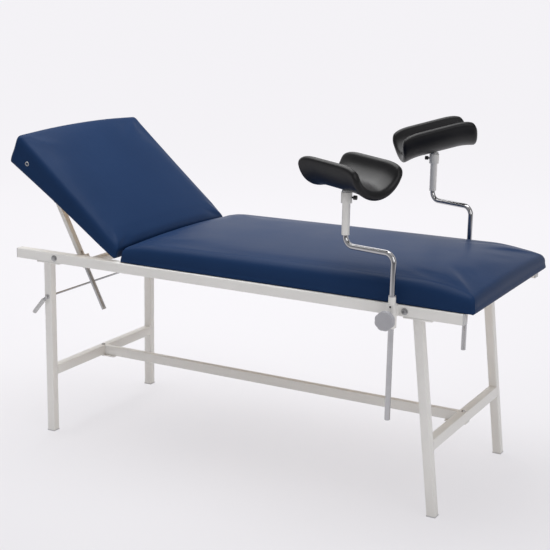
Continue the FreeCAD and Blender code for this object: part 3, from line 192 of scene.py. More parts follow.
gaze = Feed(scene.world.node_tree).node("ShaderNodeTexCoord", {}, {}, "Generated")
far_off = along(gaze, room_away)
rise = gaze.node("ShaderNodeSeparateXYZ", {}, {0: gaze}, "Z")
backdrop, front = ease(far_off, 0.35, 0.88), ease(far_off, 0.1, -0.6)
horizon, ceiling = ease(rise, 0.44, 0.24), ease(rise, 0.55, 0.95)
brightness = 0.30 + (backdrop * 0.86 + front * 0.22) * horizon + ceiling * 0.35
glow = gaze.node("ShaderNodeBackground", {}, {"Color": (1, 0.99, 1, 1), "Strength": brightness})
gaze.node("ShaderNodeOutputWorld", {}, {"Surface": glow})
for name, spot, aim, size, watts in (("overhead_box", (0.1, 0.6, 3.5), (0.75, 0.318, 0.5), 3.2, 112),
                                     ("foot_end_box", (4.3, -1.6, 2.6), (0.6, 0.318, 0.6), 2.4, 32)):
    lamp = bpy.data.objects.new(name, bpy.data.lights.new(name, "AREA"))
    scene.collection.objects.link(lamp)
    lamp.data.size = size
    lamp.data.energy = watts
    lamp.location = spot
    lamp.rotation_euler = (Vector(aim) - Vector(spot)).to_track_quat("-Z", "Y").to_euler()


# Side rails, legs, crossbars and stretcher are square steel tube with rounded corners, welded up
# and coated in off-white enamel that has a little orange peel and a faint mottle.
def noise(place, scale, detail):
    return place.node("ShaderNodeTexNoise", {}, {"Vector": place, "Scale": scale, "Detail": detail})


def bumps(height, strength, distance):
    return height.node("ShaderNodeBump", {}, {"Height": height, "Strength": strength, "Distance": distance})


def finished(place, values):
    """Close a material with its one shader."""
    shader = place.node("ShaderNodeBsdfPrincipled", {}, values)
    place.node("ShaderNodeOutputMaterial", {}, {"Surface": shader})


enamel, place = new_finish("off_white_enamel")
mottle, speck, peel = noise(place, 7.0, 4.0), noise(place, 190.0, 2.0), noise(place, 420.0, 1.0)
finished(place, {"Base Color": tinted(mottle * 0.7 + speck * 0.3, (0.75, 0.738, 0.712, 1),
                                      (0.84, 0.833, 0.812, 1)),
                 "Roughness": 0.30 + mottle * 0.14, "Normal": bumps(peel, 0.10, 0.0006), "IOR": 1.5})


def settle(piece, node, finish):
    """Give a piece its finish and let it stand for a CAD node."""
    piece.data.materials.clear()
    piece.data.materials.append(finish)
    body = frame["nodes"][node]["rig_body"]
    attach(piece, body)
    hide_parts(node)
    return piece


def unpick(piece):
    """Leave nothing of a piece's mesh selected, in object mode."""
    bpy.ops.object.mode_set(mode="OBJECT")
    for part in (piece.data.vertices, piece.data.edges, piece.data.polygons):
        part.foreach_set("select", [False] * len(part))


def pick_edges(piece, test):
    """Select the edges of a piece whose two ends pass a test, in edit mode."""
    unpick(piece)
    for edge in piece.data.edges:
        a, b = (piece.data.vertices[i].co for i in edge.vertices)
        edge.select = test(a, b)
    bpy.ops.object.mode_set(mode="EDIT")


def smooth_shaded():
    bpy.ops.object.shade_smooth_by_angle(angle=math.radians(40))


def block(name, low, high):
    """A cube brought to two corners, with its place in its mesh."""
    deselect()
    bpy.ops.mesh.primitive_cube_add(size=1, location=(Vector(low) + Vector(high)) / 2)
    piece = bpy.context.object
    piece.name = name
    piece.scale = Vector(high) - Vector(low)
    bpy.ops.object.transform_apply(location=True, rotation=True, scale=True)
    bpy.ops.object.mode_set(mode="EDIT")
    bpy.ops.mesh.select_mode(type="EDGE")
    return piece


def tube(name, low, high, axis, corner):
    """Square tube between two corners, its long edges rounded as rolled tube is."""
    piece = block(name, low, high)
    length = high[axis] - low[axis]
    pick_edges(piece, lambda a, b: abs((a - b)[axis]) > 0.9 * length)
    bpy.ops.mesh.bevel(offset=corner, segments=4, affect="EDGES")
    bpy.ops.object.mode_set(mode="OBJECT")
    smooth_shaded()
    return piece


def lean(piece, top, shift):
    """Push the upper end of a piece along X, as the foot legs lean."""
    low = min(v.co.z for v in piece.data.vertices)
    for v in piece.data.vertices:
        v.co.x += shift * (v.co.z - low) / (top - low)


def straight_tube(name, node, axis, corner):
    """Tube that fills the box of its node."""
    return settle(tube(name, *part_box(node), axis, corner), node, enamel)


def leaning_tube(name, node, wide, axis, corner):
    """Tube of a node at the foot end, upright at first and then leant over."""
    low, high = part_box(node)
    piece = tube(name, Vector((high.x - wide, low.y, low.z)), high, axis, corner)
    lean(piece, high.z, low.x - (high.x - wide))
    return settle(piece, node, enamel)


def joined(pieces, name):
    deselect()
    for piece in pieces:
        piece.select_set(True)
    bpy.context.view_layer.objects.active = pieces[0]
    bpy.ops.object.join()
    bpy.context.object.name = name
    return bpy.context.object


rail_corner, leg_corner, leg_wide = 0.0035, 0.003, 0.030
for side in ("right", "left"):
    straight_tube(side + "_rail_tube", side + "_side_rail", 0, rail_corner)
    straight_tube(side + "_head_leg_tube", side + "_head_leg", 2, leg_corner)
    low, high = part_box(side + "_foot_leg")
    leaning_tube(side + "_foot_leg_tube", side + "_foot_leg", high.y - low.y, 2, leg_corner)
straight_tube("head_crossbar_tube", "head_crossbar", 1, leg_corner)
leaning_tube("foot_crossbar_tube", "foot_crossbar", leg_wide, 1, leg_corner)

half_stretcher, stretcher_corner, into_crossbar = 0.010, 0.0025, 0.002
head_tab, foot_tab, tab_edge = 0.046, 0.076, 0.0008
stretcher_low, stretcher_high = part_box("stretcher")
head_low, head_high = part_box("head_crossbar")
foot_low, foot_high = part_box("foot_crossbar")
middle_y = (stretcher_low.y + stretcher_high.y) / 2
runs = [tube("stretcher_tube", Vector((head_high.x, middle_y - half_stretcher, head_low.z)),
             Vector((foot_low.x + into_crossbar, middle_y + half_stretcher, stretcher_high.z)), 0,
             stretcher_corner)]
for low_x, high_x in ((stretcher_low.x, head_high.x + head_tab), (foot_high.x - foot_tab, stretcher_high.x)):
    runs.append(block("stretcher_tab", Vector((low_x, stretcher_low.y, stretcher_low.z)),
                      Vector((high_x, stretcher_high.y, head_low.z))))
    bpy.ops.mesh.select_all(action="SELECT")
    bpy.ops.mesh.bevel(offset=tab_edge, segments=2, affect="EDGES")
    bpy.ops.object.mode_set(mode="OBJECT")
settle(joined(runs, "stretcher_tube"), "stretcher", enamel)


# Brackets, cross tubes, sockets, posts, strut channels and guides are folded or turned steel in the
# same enamel. Each starts from its solid, is cleaned of its triangles and gets broken edges.
def rounded(piece, width, segments, sharp):
    """Round the edges of a piece that are sharper than an angle in degrees, and shade it smooth."""
    rounding = piece.modifiers.new("rounding", "BEVEL")
    rounding.width = width
    rounding.segments = segments
    rounding.limit_method = "ANGLE"
    rounding.angle_limit = math.radians(sharp)
    bpy.ops.object.modifier_apply(modifier="rounding")
    smooth_shaded()


def merge_doubles(within):
    bpy.ops.mesh.select_all(action="SELECT")
    bpy.ops.mesh.remove_doubles(threshold=within)


def copied(form, name, place):
    """A copy of a modelled piece at a place, with its own mesh."""
    deselect()
    piece = bpy.data.objects.new(name, form.data.copy())
    scene.collection.objects.link(piece)
    piece.data.transform(place)
    piece.select_set(True)
    bpy.context.view_layer.objects.active = piece
    return piece


def broken_edges(node, name, finish, width, segments=2):
    """A copy of a CAD node, merged and flattened, with its sharp edges rounded."""
    piece = copied(frame["nodes"][node], name, Matrix())
    bpy.ops.mesh.customdata_custom_splitnormals_clear()
    bpy.ops.object.mode_set(mode="EDIT")
    merge_doubles(within=0.00001)
    bpy.ops.mesh.dissolve_limited(angle_limit=math.radians(0.4))
    bpy.ops.object.mode_set(mode="OBJECT")
    rounded(piece, width, segments, sharp=42)
    return settle(piece, node, finish)


broken_edges("leg_brackets", "leg_bracket_plates", enamel, 0.0008)
broken_edges("back_cross_tube", "back_cross_bar", enamel, 0.0020, 3)
broken_edges("seat_cross_tubes", "seat_cross_bars", enamel, 0.0020, 3)
for side in ("right", "left"):
    broken_edges(side + "_socket", side + "_rod_socket", enamel, 0.0010)
    broken_edges(side + "_post", side + "_post_tube", enamel, 0.0010)
    broken_edges(side + "_strut_channel", side + "_strut_fold", enamel, 0.0007)
    broken_edges(side + "_strut_guide", side + "_strut_sleeve", enamel, 0.0008)


# Bolts, screws, pins, hinge leaves, clevises and the struts' lower bars are zinc-plated steel:
# dull grey, with soft blotches in the plating and fine scratches.
def stretched(place, scale):
    """Coordinates drawn out, so that a pattern on them becomes streaks."""
    return place.node("ShaderNodeMapping", {}, {"Vector": place, "Scale": scale})


zinc, place = new_finish("zinc_plate")
blotch, scratch = noise(place, 65.0, 3.0), noise(stretched(place, (60, 600, 60)), 6.0, 3.0)
finished(place, {"Base Color": tinted(blotch, (0.34, 0.34, 0.345, 1), (0.58, 0.58, 0.585, 1)),
                 "Metallic": 1.0, "Roughness": 0.26 + blotch * 0.22, "Normal": bumps(scratch, 0.08, 0.0004)})
for node, name, width in (("leg_bolts", "leg_bolt_set", 0.0006),
                          ("stretcher_bolts", "stretcher_bolt_set", 0.0008),
                          ("seat_hinge_leaves", "seat_hinges", 0.0006),
                          ("back_hinge_leaves", "back_hinges", 0.0006),
                          ("strut_clevises", "strut_brackets", 0.0006),
                          ("strut_pins", "strut_pin_pair", 0.0006)):
    broken_edges(node, name, zinc, width)
for side in ("right", "left"):
    broken_edges(side + "_strut_bar", side + "_strut_flat", zinc, 0.0008)
    broken_edges(side + "_strut_rivets", side + "_strut_rivet_pair", zinc, 0.0009, 3)
    broken_edges(side + "_shell_bracket", side + "_shell_fork", zinc, 0.0005)
    broken_edges(side + "_shell_carrier", side + "_shell_stem", zinc, 0.0005)
for node in ("seat_screws", "back_screws", "hinge_pins", "right_socket_spindle", "left_socket_spindle"):
    frame["nodes"][node].material_slots[0].material = zinc


# Moulded plastic makes the foot caps, rail plugs, bushes, liners, hand knobs and the grip: mid-grey,
# or paler where it closes the white tubes, with a fine spark-eroded texture from the mould.
def moulded_plastic(name, dark, light):
    """Plastic between two greys, clouded a little and dull."""
    finish, place = new_finish(name)
    cloudy, spark = noise(place, 24.0, 3.0), noise(place, 900.0, 1.0)
    finished(place, {"Base Color": tinted(cloudy, dark, light), "Roughness": 0.42 + cloudy * 0.16,
                     "Normal": bumps(spark, 0.15, 0.0004)})
    return finish


grey = moulded_plastic("grey_plastic", (0.37, 0.37, 0.395, 1), (0.47, 0.47, 0.50, 1))
pale_plastic = moulded_plastic("pale_plastic", (0.50, 0.50, 0.50, 1), (0.60, 0.60, 0.605, 1))
broken_edges("foot_caps", "foot_cap_set", pale_plastic, 0.0010)
broken_edges("rail_end_plugs", "rail_plug_set", pale_plastic, 0.0012, 3)
broken_edges("roll_bushes", "roll_bush_pair", pale_plastic, 0.0005)
for side in ("right", "left"):
    broken_edges(side + "_socket_bush", side + "_socket_liner", grey, 0.0005)


# The boards under the cushions are bare plywood, screwed on from below: long grain on their faces
# and thin plies at their edges.
plywood, place = new_finish("plywood")
grain = noise(stretched(place, (4, 60, 400)), 1.6, 6.0)
finished(place, {"Base Color": tinted(grain, (0.46, 0.33, 0.20, 1), (0.72, 0.57, 0.40, 1)),
                 "Roughness": 0.6 + grain * 0.2, "Normal": bumps(grain, 0.2, 0.0006)})
for node in ("seat_board", "back_board"):
    frame["nodes"][node].material_slots[0].material = plywood


# The seat cushion is foam on the board in a navy leatherette cover that is pulled down over the edges,
# tucked at the corners and stapled underneath, so its top is crowned and its edges roll over softly.
def pebbled(place, scale, smoothness):
    return place.node("ShaderNodeTexVoronoi", {"feature": "SMOOTH_F1"},
                      {"Vector": place, "Scale": scale, "Smoothness": smoothness})


leatherette, place = new_finish("navy_leatherette")
pebble, patch = pebbled(place, 620.0, 0.4), noise(place, 5.0, 3.0)
crease = place.node("ShaderNodeTexNoise", {},
                    {"Vector": place, "Scale": 140.0, "Detail": 5.0, "Distortion": 0.6})
pulled = noise(stretched(place, (3, 55, 30)), 1.5, 4.0)
finished(place, {"Base Color": tinted(patch * 0.8 + crease * 0.2, (0.0092, 0.0268, 0.077, 1),
                                      (0.0136, 0.0365, 0.100, 1)),
                 "Roughness": 0.33 + patch * 0.10, "Specular IOR Level": 0.05,
                 "Normal": bumps(pebble * 0.6 + crease * 0.7 + pulled * 2.4, 0.16, 0.0007)})


def crowded(t):
    """Grid lines from -0.5 to 0.5, drawn together towards both ends."""
    crowding = 0.45
    return t + crowding * math.sin(2 * math.pi * t) / (2 * math.pi)


def blown_up(cover):
    """Let a cover swell under pressure, held at its lower edge."""
    frames = 20
    cloth = cover.modifiers.new("cloth", "CLOTH")
    for key, value in {"quality": 6, "mass": 0.3, "tension_stiffness": 15, "compression_stiffness": 15,
                       "shear_stiffness": 5, "bending_stiffness": 0.6, "use_pressure": True,
                       "uniform_pressure_force": 4, "vertex_group_mass": "held"}.items():
        setattr(cloth.settings, key, value)
    cloth.settings.effector_weights.gravity = 0
    for step in range(1, frames + 1):
        scene.frame_set(step)
    bpy.ops.object.modifier_apply(modifier="cloth")
    scene.frame_set(1)


def cushion(name, length, half_width, edge, crown, most_round, wadding, downward):
    """Closed cover blown up over its foam; s runs along it, y across it and h up from its base."""
    pitch, layers, corner, rim, recess, wall, draw = 0.0105, 4, 0.009, 0.002, 0.0128, 0.026, 0.004
    most_bulge, hem, hinge_share, hinge_reach = 0.004, 0.006, 0.3, 0.1
    tuck_depth, tuck_width, tuck_hem, tuck_full, tuck_fade = 0.0026, 0.0040, 0.003, 0.010, 0.045
    ripple_depth, ripple_pitch, ripple_width = 0.0007, 0.0036, 0.016

    def drawn_in(s):
        return draw * (1 - (2 * s / length - 1) ** 2)

    def top(s, y):
        side = half_width - drawn_in(s)
        round_off = min(most_round, edge(s) - wall)
        inset = min(max(side - abs(y), 0), round_off)
        bow = max(0, 1 - (y / (side - round_off)) ** 2)
        return edge(s) - round_off + math.sqrt(round_off ** 2 - (round_off - inset) ** 2) + crown * bow

    deselect()
    bpy.ops.mesh.primitive_grid_add(x_subdivisions=round(length / pitch), size=1,
                                    y_subdivisions=round(2 * half_width / pitch))
    cover = bpy.context.object
    cover.name = name
    bpy.ops.object.mode_set(mode="EDIT")
    bpy.ops.mesh.select_all(action="SELECT")
    for layer in range(layers):
        bpy.ops.mesh.extrude_region_move(TRANSFORM_OT_translate={"value": (0, 0, 1)})
    bpy.ops.mesh.select_all(action="SELECT")
    bpy.ops.mesh.normals_make_consistent(inside=False)
    bpy.ops.object.mode_set(mode="OBJECT")
    held = cover.vertex_groups.new(name="held")
    for v in cover.data.vertices:
        layer = round(v.co.z)
        s, y = (0.5 + crowded(v.co.x)) * length, 2 * half_width * crowded(v.co.y)
        from_end, from_side = min(s, length - s), half_width - abs(y)
        at_rim = min(from_end, from_side) < rim
        if from_end < corner and from_side < corner:
            a, b = corner - from_end, corner - from_side
            shrink = max(a, b) / math.hypot(a, b)
            s = corner - a * shrink if s < length / 2 else length - corner + a * shrink
            y = math.copysign(half_width - corner + b * shrink, y)
        y *= 1 - drawn_in(s) / half_width
        if layer:
            h = top(s, y) * layer / layers
        else:
            h = 0 if at_rim else recess
        v.co = (s, y, h)
        if layer <= 1:
            held.add([v.index], 1, "REPLACE")
    start = [v.co.copy() for v in cover.data.vertices]
    blown_up(cover)
    for v, before in zip(cover.data.vertices, start):
        moved = v.co - before
        if moved.length > most_bulge:
            v.co = before + moved * (most_bulge / moved.length)
    for kind, settings in (("SMOOTH", {"factor": 0.5, "iterations": 2, "vertex_group": "held",
                                       "invert_vertex_group": True}),
                           ("SUBSURF", {"levels": 1, "render_levels": 1})):
        finishing = cover.modifiers.new("finishing", kind)
        for key, value in settings.items():
            setattr(finishing, key, value)
        bpy.ops.object.modifier_apply(modifier="finishing")
    ways = [v.normal.copy() for v in cover.data.vertices]
    for v, way in zip(cover.data.vertices, ways):
        s, y, h = v.co
        if way.z > -0.5 or h < hem:
            push = Vector((way.x, way.y, max(-downward, way.z)))
            v.co += push * wadding * min(1, hinge_share + s / hinge_reach)
        a, b = min(s, length - s), half_width - abs(y)
        across, inward = (a - b) / math.sqrt(2), (a + b) / math.sqrt(2)
        if h > tuck_hem and inward < tuck_full + tuck_fade:
            fade = 1 - max(0, inward - tuck_full) / tuck_fade
            tuck = tuck_depth * math.exp(-(across / tuck_width) ** 2)
            ripple = ripple_depth * math.cos(across / ripple_pitch) * math.exp(-(across / ripple_width) ** 2)
            gathered = (tuck - ripple) * fade
            v.co.x += gathered if s < length / 2 else -gathered
            v.co.y -= math.copysign(gathered, y)
        v.co.x = max(v.co.x, 0)
    bpy.ops.object.shade_smooth()
    return cover


low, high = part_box("seat_pad")
seat_length = high.x - low.x
seat_end, seat_head, seat_foot, seat_round = 0.048, 0.069, 0.080, 0.014
head_fall, foot_fall = 0.120, 0.190


def seat_edge(s):
    """Height of the seat's edge, which falls off towards both ends."""
    full = seat_head + (seat_foot - seat_head) * s / seat_length
    near = max(0, 1 - s / head_fall, 1 - (seat_length - s) / foot_fall)
    close = max(0, 1 - min(s, seat_length - s) / seat_round)
    return full + (seat_end - full) * near ** 2 - seat_round * (1 - math.sqrt(max(0, 1 - close ** 2)))


seat_cover = cushion("seat_cushion", seat_length, (high.y - low.y) / 2, seat_edge, crown=0.008,
                     most_round=0.044, wadding=0.0026, downward=1)
seat_cover.data.transform(Matrix.Translation((low.x, (low.y + high.y) / 2, low.z)))
settle(seat_cover, "seat_pad", leatherette)


# The back cushion is a foam wedge in the same cover, thick at the head and thin at the hinge,
# with its ends leaning over. It lies on its own board and tilts with it on the hinge.
joints = {joint["name"]: joint for joint in frame["joints"]}
hinge = Vector(joints["back_tilt"]["pos_m"])
back_tilt = math.radians(34.0)
hinge_height, hinge_gap, hinge_lean, head_lean = 0.013, 0.008, 0.24, 0.30
back_length, thin_edge, thick_edge = 0.535, 0.039, 0.103
hinge_drop, head_drop, end_round = 0.004, 0.010, 0.018
pad_low, pad_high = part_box("back_pad")


def back_edge(s):
    """Height of the wedge's edge, rounded off a little at both ends."""
    fall = hinge_drop if s < back_length / 2 else head_drop
    near = max(0, 1 - min(s, back_length - s) / end_round)
    return (thin_edge + (thick_edge - thin_edge) * s / back_length
            - fall * (1 - math.sqrt(max(0, 1 - near ** 2))))


back_cover = cushion("back_cushion", back_length, (pad_high.y - pad_low.y) / 2, back_edge, crown=0.012,
                     most_round=0.014, wadding=0.0050, downward=0)
laid = Matrix.Translation(hinge) @ Matrix.Rotation(back_tilt, 4, "Y")
for v in back_cover.data.vertices:
    s, y, h = v.co
    lean_over = hinge_lean + (head_lean - hinge_lean) * s / back_length
    v.co = laid @ Vector((-hinge_gap - s - lean_over * h, y, h - hinge_height))
bpy.ops.object.mode_set(mode="EDIT")
bpy.ops.mesh.select_all(action="SELECT")
bpy.ops.mesh.normals_make_consistent(inside=False)
bpy.ops.object.mode_set(mode="OBJECT")
settle(back_cover, "back_pad", leatherette)


# An eyelet in each side of the back cushion lets the air out: a rolled ring of plated steel
# with a sleeve that is pressed through the cover.
ring_radius, ring_wire, sunk, past_middle, sleeve = 0.0065, 0.0022, 0.0015, 0.0005, 0.004
half_turn = Matrix.Rotation(math.pi, 4, "Z")
deselect()
bpy.ops.mesh.primitive_torus_add(major_radius=ring_radius, minor_radius=ring_wire, major_segments=40,
                                 minor_segments=12, location=(0, sunk, 0), rotation=(math.pi / 2, 0, 0))
ring = bpy.context.object
bpy.ops.object.transform_apply(location=True, rotation=True, scale=True)
unpick(ring)
for v in ring.data.vertices:
    v.select = v.co.y > sunk + past_middle
bpy.ops.object.mode_set(mode="EDIT")
bpy.ops.mesh.select_mode(type="VERT")
bpy.ops.transform.translate(value=(0, sleeve, 0))
bpy.ops.object.mode_set(mode="OBJECT")
bpy.ops.object.shade_smooth()
low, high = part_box("vent_eyelets")
middle = (low + high) / 2
pair = [copied(ring, "vent_ring", Matrix.Translation((middle.x, low.y, middle.z))),
        copied(ring, "vent_ring", Matrix.Translation((middle.x, high.y, middle.z)) @ half_turn)]
bpy.data.objects.remove(ring)
settle(joined(pair, "vent_rings"), "vent_eyelets", zinc)


# The rod across the head legs and the leg holders' cranked rods are drawn steel bar, bent cold
# and chromed: bright, with faint smears where hands hold them.
chrome, place = new_finish("chrome_plate")
smear = noise(place, 34.0, 4.0)
finished(place, {"Base Color": tinted(smear, (0.44, 0.44, 0.45, 1), (0.54, 0.54, 0.55, 1)), "Metallic": 1.0,
                 "Roughness": 0.04 + smear * 0.06})


def round_blank(name, radius, vertices, spot, way):
    """A filled circle square to a direction, all selected in edit mode, to be drawn out."""
    deselect()
    bpy.ops.mesh.primitive_circle_add(vertices=vertices, radius=radius, fill_type="NGON", location=spot,
                                      rotation=way.to_track_quat("Z", "Y").to_euler())
    piece = bpy.context.object
    piece.name = name
    bpy.ops.object.transform_apply(location=True, rotation=True, scale=True)
    bpy.ops.object.mode_set(mode="EDIT")
    bpy.ops.mesh.select_all(action="SELECT")
    return piece


def bar(name, points, bend, radius):
    """Round bar from point to point, spun round each bend, with broken ends."""
    ways = [(b - a).normalized() for a, b in zip(points, points[1:])]
    piece = round_blank(name, radius, 28, points[0], ways[0])
    here = points[0]
    for i, way in enumerate(ways):
        last = i == len(ways) - 1
        turn = 0 if last else way.angle(ways[i + 1])
        stop = points[i + 1] - way * bend * math.tan(turn / 2)
        bpy.ops.mesh.extrude_region_move(TRANSFORM_OT_translate={"value": stop - here})
        here = stop
        if not last:
            axis = way.cross(ways[i + 1]).normalized()
            centre = stop + axis.cross(way) * bend
            bpy.ops.mesh.spin(steps=12, angle=-turn, center=centre, axis=axis)
            here = centre + Matrix.Rotation(turn, 3, axis) @ (stop - centre)
    merge_doubles(within=0.00001)
    bpy.ops.mesh.normals_make_consistent(inside=False)
    bpy.ops.object.mode_set(mode="OBJECT")
    end_break = radius * 0.18
    rounded(piece, end_break, 3, sharp=50)
    return piece


roll_radius, roll_bend, arm_length, arm_slope = 0.004, 0.010, 0.077, math.radians(50)
rod_low, rod_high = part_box("roll_rod")
roll_axis = Vector(joints["roll_rod_turn"]["pos_m"])
arm_way = Vector((-math.cos(arm_slope), 0, -math.sin(arm_slope)))
elbow = Vector((roll_axis.x, rod_low.y + roll_radius, roll_axis.z))
roll_points = [Vector((roll_axis.x, rod_high.y, roll_axis.z)), elbow, elbow + arm_way * arm_length]
settle(bar("roll_bar", roll_points, roll_bend, roll_radius), "roll_rod", chrome)

crank_radius, crank_bend, crank_run = 0.009, 0.030, 0.528
for side in ("right", "left"):
    low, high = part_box(side + "_cranked_rod")
    foot = Vector(joints[side + "_rod_swing"]["pos_m"])
    post = Vector(joints[side + "_shell_swivel"]["pos_m"])
    run_z = low.z + crank_run
    crank_points = [Vector((foot.x, foot.y, low.z)), Vector((foot.x, foot.y, run_z)),
                    Vector((post.x, post.y, run_z)), Vector((post.x, post.y, high.z))]
    settle(bar(side + "_crank", crank_points, crank_bend, crank_radius), side + "_cranked_rod", chrome)


# The grip on the rod's arm is a pale grey plastic sleeve pushed on up to the bend, with shallow
# finger rings and a small dimple left by the mould in its end.
grip_length, grip_radius, finger_rings, ring_depth, slices = 0.071, 0.008, 6, 0.05, 18
past_elbow, grip_edge, dimple_rim, dimple_depth = 0.011, 0.003, 0.0025, 0.004
grip_start = elbow + arm_way * past_elbow


def pick_faces(piece, test):
    """Select the faces of a piece that pass a test, in edit mode."""
    unpick(piece)
    for flat in piece.data.polygons:
        flat.select = test(flat)
    bpy.ops.object.mode_set(mode="EDIT")
    bpy.ops.mesh.select_mode(type="FACE")


grip = round_blank("rod_grip", grip_radius, 32, grip_start, arm_way)
for i in range(slices):
    bpy.ops.mesh.extrude_region_move(TRANSFORM_OT_translate={"value": arm_way * grip_length / slices})
bpy.ops.object.mode_set(mode="OBJECT")
for v in grip.data.vertices:
    t = (v.co - grip_start).dot(arm_way)
    axis_point = grip_start + arm_way * t
    wave = 1 - ring_depth * (0.5 - 0.5 * math.cos(2 * math.pi * t * finger_rings / grip_length))
    v.co = axis_point + (v.co - axis_point) * wave
rounded(grip, grip_edge, 4, sharp=50)
reach = max((flat.center - grip_start).dot(arm_way) for flat in grip.data.polygons)
pick_faces(grip, lambda flat: (flat.center - grip_start).dot(arm_way) == reach)
bpy.ops.mesh.inset(thickness=dimple_rim)
bpy.ops.mesh.extrude_region_move(TRANSFORM_OT_translate={"value": arm_way * -dimple_depth})
bpy.ops.object.mode_set(mode="OBJECT")
smooth_shaded()
settle(grip, "roll_grip", pale_plastic)


# Each hand knob is moulded in grey plastic on its threaded spindle: a scalloped disc with a rounded
# rim, a shallow dish in its face and a hub behind it. One is modelled, with its face towards -Y.
knob_radius, knob_depth, lobes, lobe_depth = 0.030, 0.020, 8, 0.05
dish_rim, dish_depth, hub_rim, hub_length, knob_edge = 0.0065, 0.0022, 0.0165, 0.012, 0.0026
deselect()
bpy.ops.mesh.primitive_cylinder_add(vertices=128, radius=knob_radius, depth=knob_depth,
                                    location=(0, knob_depth / 2, 0), rotation=(math.pi / 2, 0, 0))
knob = bpy.context.object
bpy.ops.object.transform_apply(location=True, rotation=True, scale=True)
for v in knob.data.vertices:
    angle = math.atan2(v.co.z, v.co.x)
    spoke = 1 - lobe_depth * (0.5 + 0.5 * math.cos(lobes * angle)) ** 1.5
    v.co.x, v.co.z = v.co.x * spoke, v.co.z * spoke
pick_faces(knob, lambda flat: flat.normal.y < -0.9)
bpy.ops.mesh.inset(thickness=dish_rim)
bpy.ops.transform.translate(value=(0, dish_depth, 0))
pick_faces(knob, lambda flat: flat.normal.y > 0.9)
bpy.ops.mesh.inset(thickness=hub_rim)
bpy.ops.mesh.extrude_region_move(TRANSFORM_OT_translate={"value": (0, hub_length, 0)})
bpy.ops.object.mode_set(mode="OBJECT")
rounded(knob, knob_edge, 4, sharp=50)
for side, turn in (("right", Matrix()), ("left", half_turn)):
    low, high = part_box(side + "_socket_knob")
    face = Vector(((low.x + high.x) / 2, low.y if side == "right" else high.y, (low.z + high.z) / 2))
    settle(copied(knob, side + "_hand_knob", Matrix.Translation(face) @ turn), side + "_socket_knob", grey)
bpy.data.objects.remove(knob)


# The collar screws and the sockets' small set screws are turned from steel and blackened.
# The collar screws have plain round heads, the set screws have none.
black, place = new_finish("black_screw")
worn = noise(place, 300.0, 2.0)
finished(place, {"Base Color": tinted(worn, (0.012, 0.012, 0.013, 1), (0.035, 0.035, 0.037, 1)),
                 "Roughness": 0.36 + worn * 0.2})
for side in ("right", "left"):
    broken_edges(side + "_collar_screw", side + "_clamp_screw", black, 0.0012, 3)
broken_edges("socket_set_screws", "set_screw_pair", black, 0.0006)


# Each leg-holder shell is a trough moulded in black polyurethane with a skin: thick, with rolled lips,
# rounded corners and ends that turn down, and a pocket below for the tilting joint. One is modelled
# about that joint and copied.
urethane, place = new_finish("black_urethane")
dusty = noise(place, 16.0, 4.0)
finished(place, {"Base Color": tinted(dusty, (0.005, 0.005, 0.006, 1), (0.010, 0.010, 0.011, 1)),
                 "Roughness": 0.30 + dusty * 0.12, "Specular IOR Level": 0.26,
                 "Normal": bumps(pebbled(place, 520.0, 0.5), 0.12, 0.0006)})

half_length, ahead, end_drop, flare = 0.138, 0.008, 0.013, 0.070
arc_radius, arc_height, lip_height, lip_corner, end_rim = 0.0921, 0.1071, 0.086, 0.024, 0.013
floor_wall, lip_wall, above_joint = 0.030, 0.025, 0.011
pocket_low, pocket_high = Vector((-0.024, -0.020, -0.040)), Vector((0.024, 0.020, 0.0131))
end_steps, run_steps, arc_steps, lip_steps = 5, 16, 20, 5
stations = []
for i in range(end_steps + 1):
    a = math.pi / 2 * i / end_steps
    stations.append((half_length - end_rim * (1 - math.cos(a)), math.sin(a)))
for i in range(1, run_steps):
    stations.append((half_length - end_rim - 2 * (half_length - end_rim) * i / run_steps, 1.0))
stations += [(-u, wall) for u, wall in reversed(stations[:end_steps + 1])]
inner_start = arc_steps + lip_steps + 1
ring_count = inner_start + arc_steps + lip_steps + 1


def round_the_trough(spot, reach):
    """Angle about the trough, offset through its wall and spread past its lip, for a place in a ring."""
    if spot <= arc_steps:
        return reach * (2 * spot / arc_steps - 1), 1, 0
    if inner_start <= spot <= inner_start + arc_steps:
        return reach * (2 * (inner_start + arc_steps - spot) / arc_steps - 1), -1, 0
    first = spot < inner_start
    way = 1 if first else -1
    a = math.pi * (spot - (arc_steps if first else inner_start + arc_steps)) / (lip_steps + 1)
    return reach * way, math.cos(a) * way, math.sin(a) * way


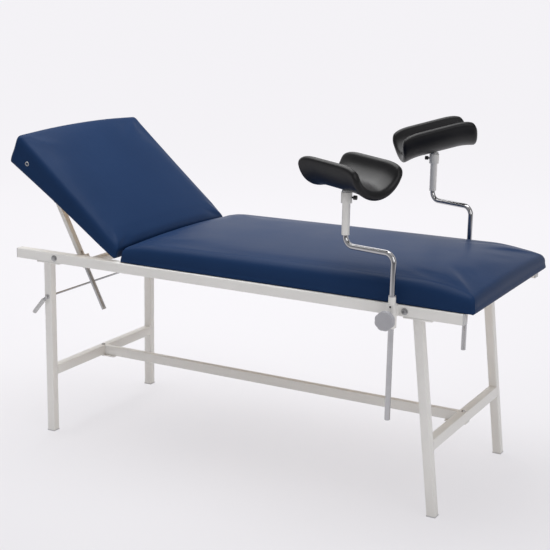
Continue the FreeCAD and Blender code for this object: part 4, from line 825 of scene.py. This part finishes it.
deselect()
blank_radius, blank_step = 0.05, 0.01
bpy.ops.mesh.primitive_circle_add(vertices=ring_count, radius=blank_radius, rotation=(0, math.pi / 2, 0))
trough = bpy.context.object
bpy.ops.object.transform_apply(location=True, rotation=True, scale=True)
bpy.ops.object.mode_set(mode="EDIT")
bpy.ops.mesh.select_mode(type="VERT")
bpy.ops.mesh.select_all(action="SELECT")
for station in stations[1:]:
    bpy.ops.mesh.extrude_region_move(TRANSFORM_OT_translate={"value": (blank_step, 0, 0)})
bpy.ops.object.mode_set(mode="OBJECT")
for index, v in enumerate(trough.data.vertices):
    u, wall = stations[index // ring_count]
    corner_in = max(0, abs(u) - (half_length - lip_corner))
    tip = lip_height - lip_corner + math.sqrt(max(0, lip_corner ** 2 - corner_in ** 2))
    reach = math.acos((arc_height - tip) / arc_radius)
    fall = end_drop * max(0, (abs(u) - half_length + flare) / flare) ** 2
    angle, offset, spread = round_the_trough(index % ring_count, reach)
    half_wall = (floor_wall + (lip_wall - floor_wall) * (angle / reach) ** 2) * wall / 2
    outward = Vector((0, math.sin(angle), -math.cos(angle)))
    upward = Vector((0, math.cos(angle), math.sin(angle)))
    v.co = (Vector((u + ahead, 0, arc_height - above_joint - fall))
            + outward * (arc_radius + half_wall * offset) + upward * half_wall * spread)
bpy.ops.object.mode_set(mode="EDIT")
merge_doubles(within=0.0002)
bpy.ops.mesh.normals_make_consistent(inside=False)
bpy.ops.object.mode_set(mode="OBJECT")
smoothing = trough.modifiers.new("smoothing", "SUBSURF")
smoothing.levels = smoothing.render_levels = 1
bpy.ops.object.modifier_apply(modifier="smoothing")
pocket = block("pocket", pocket_low, pocket_high)
deselect()
trough.select_set(True)
bpy.context.view_layer.objects.active = trough
hollow = trough.modifiers.new("hollow", "BOOLEAN")
hollow.object = pocket
hollow.operation = "DIFFERENCE"
bpy.ops.object.modifier_apply(modifier="hollow")
bpy.data.objects.remove(pocket)
smooth_shaded()
for side in ("right", "left"):
    tilt = joints[side + "_shell_tilt"]
    swivel = math.atan2(tilt["axis"][0], -tilt["axis"][1])
    pitch = math.radians(sum(tilt["range_deg"]) / 2)
    stand = (Matrix.Translation(Vector(tilt["pos_m"])) @ Matrix.Rotation(swivel, 4, "Z")
             @ Matrix.Rotation(pitch, 4, "Y"))
    settle(copied(trough, side + "_leg_shell", stand), side + "_shell", urethane)
bpy.data.objects.remove(trough)

low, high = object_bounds()
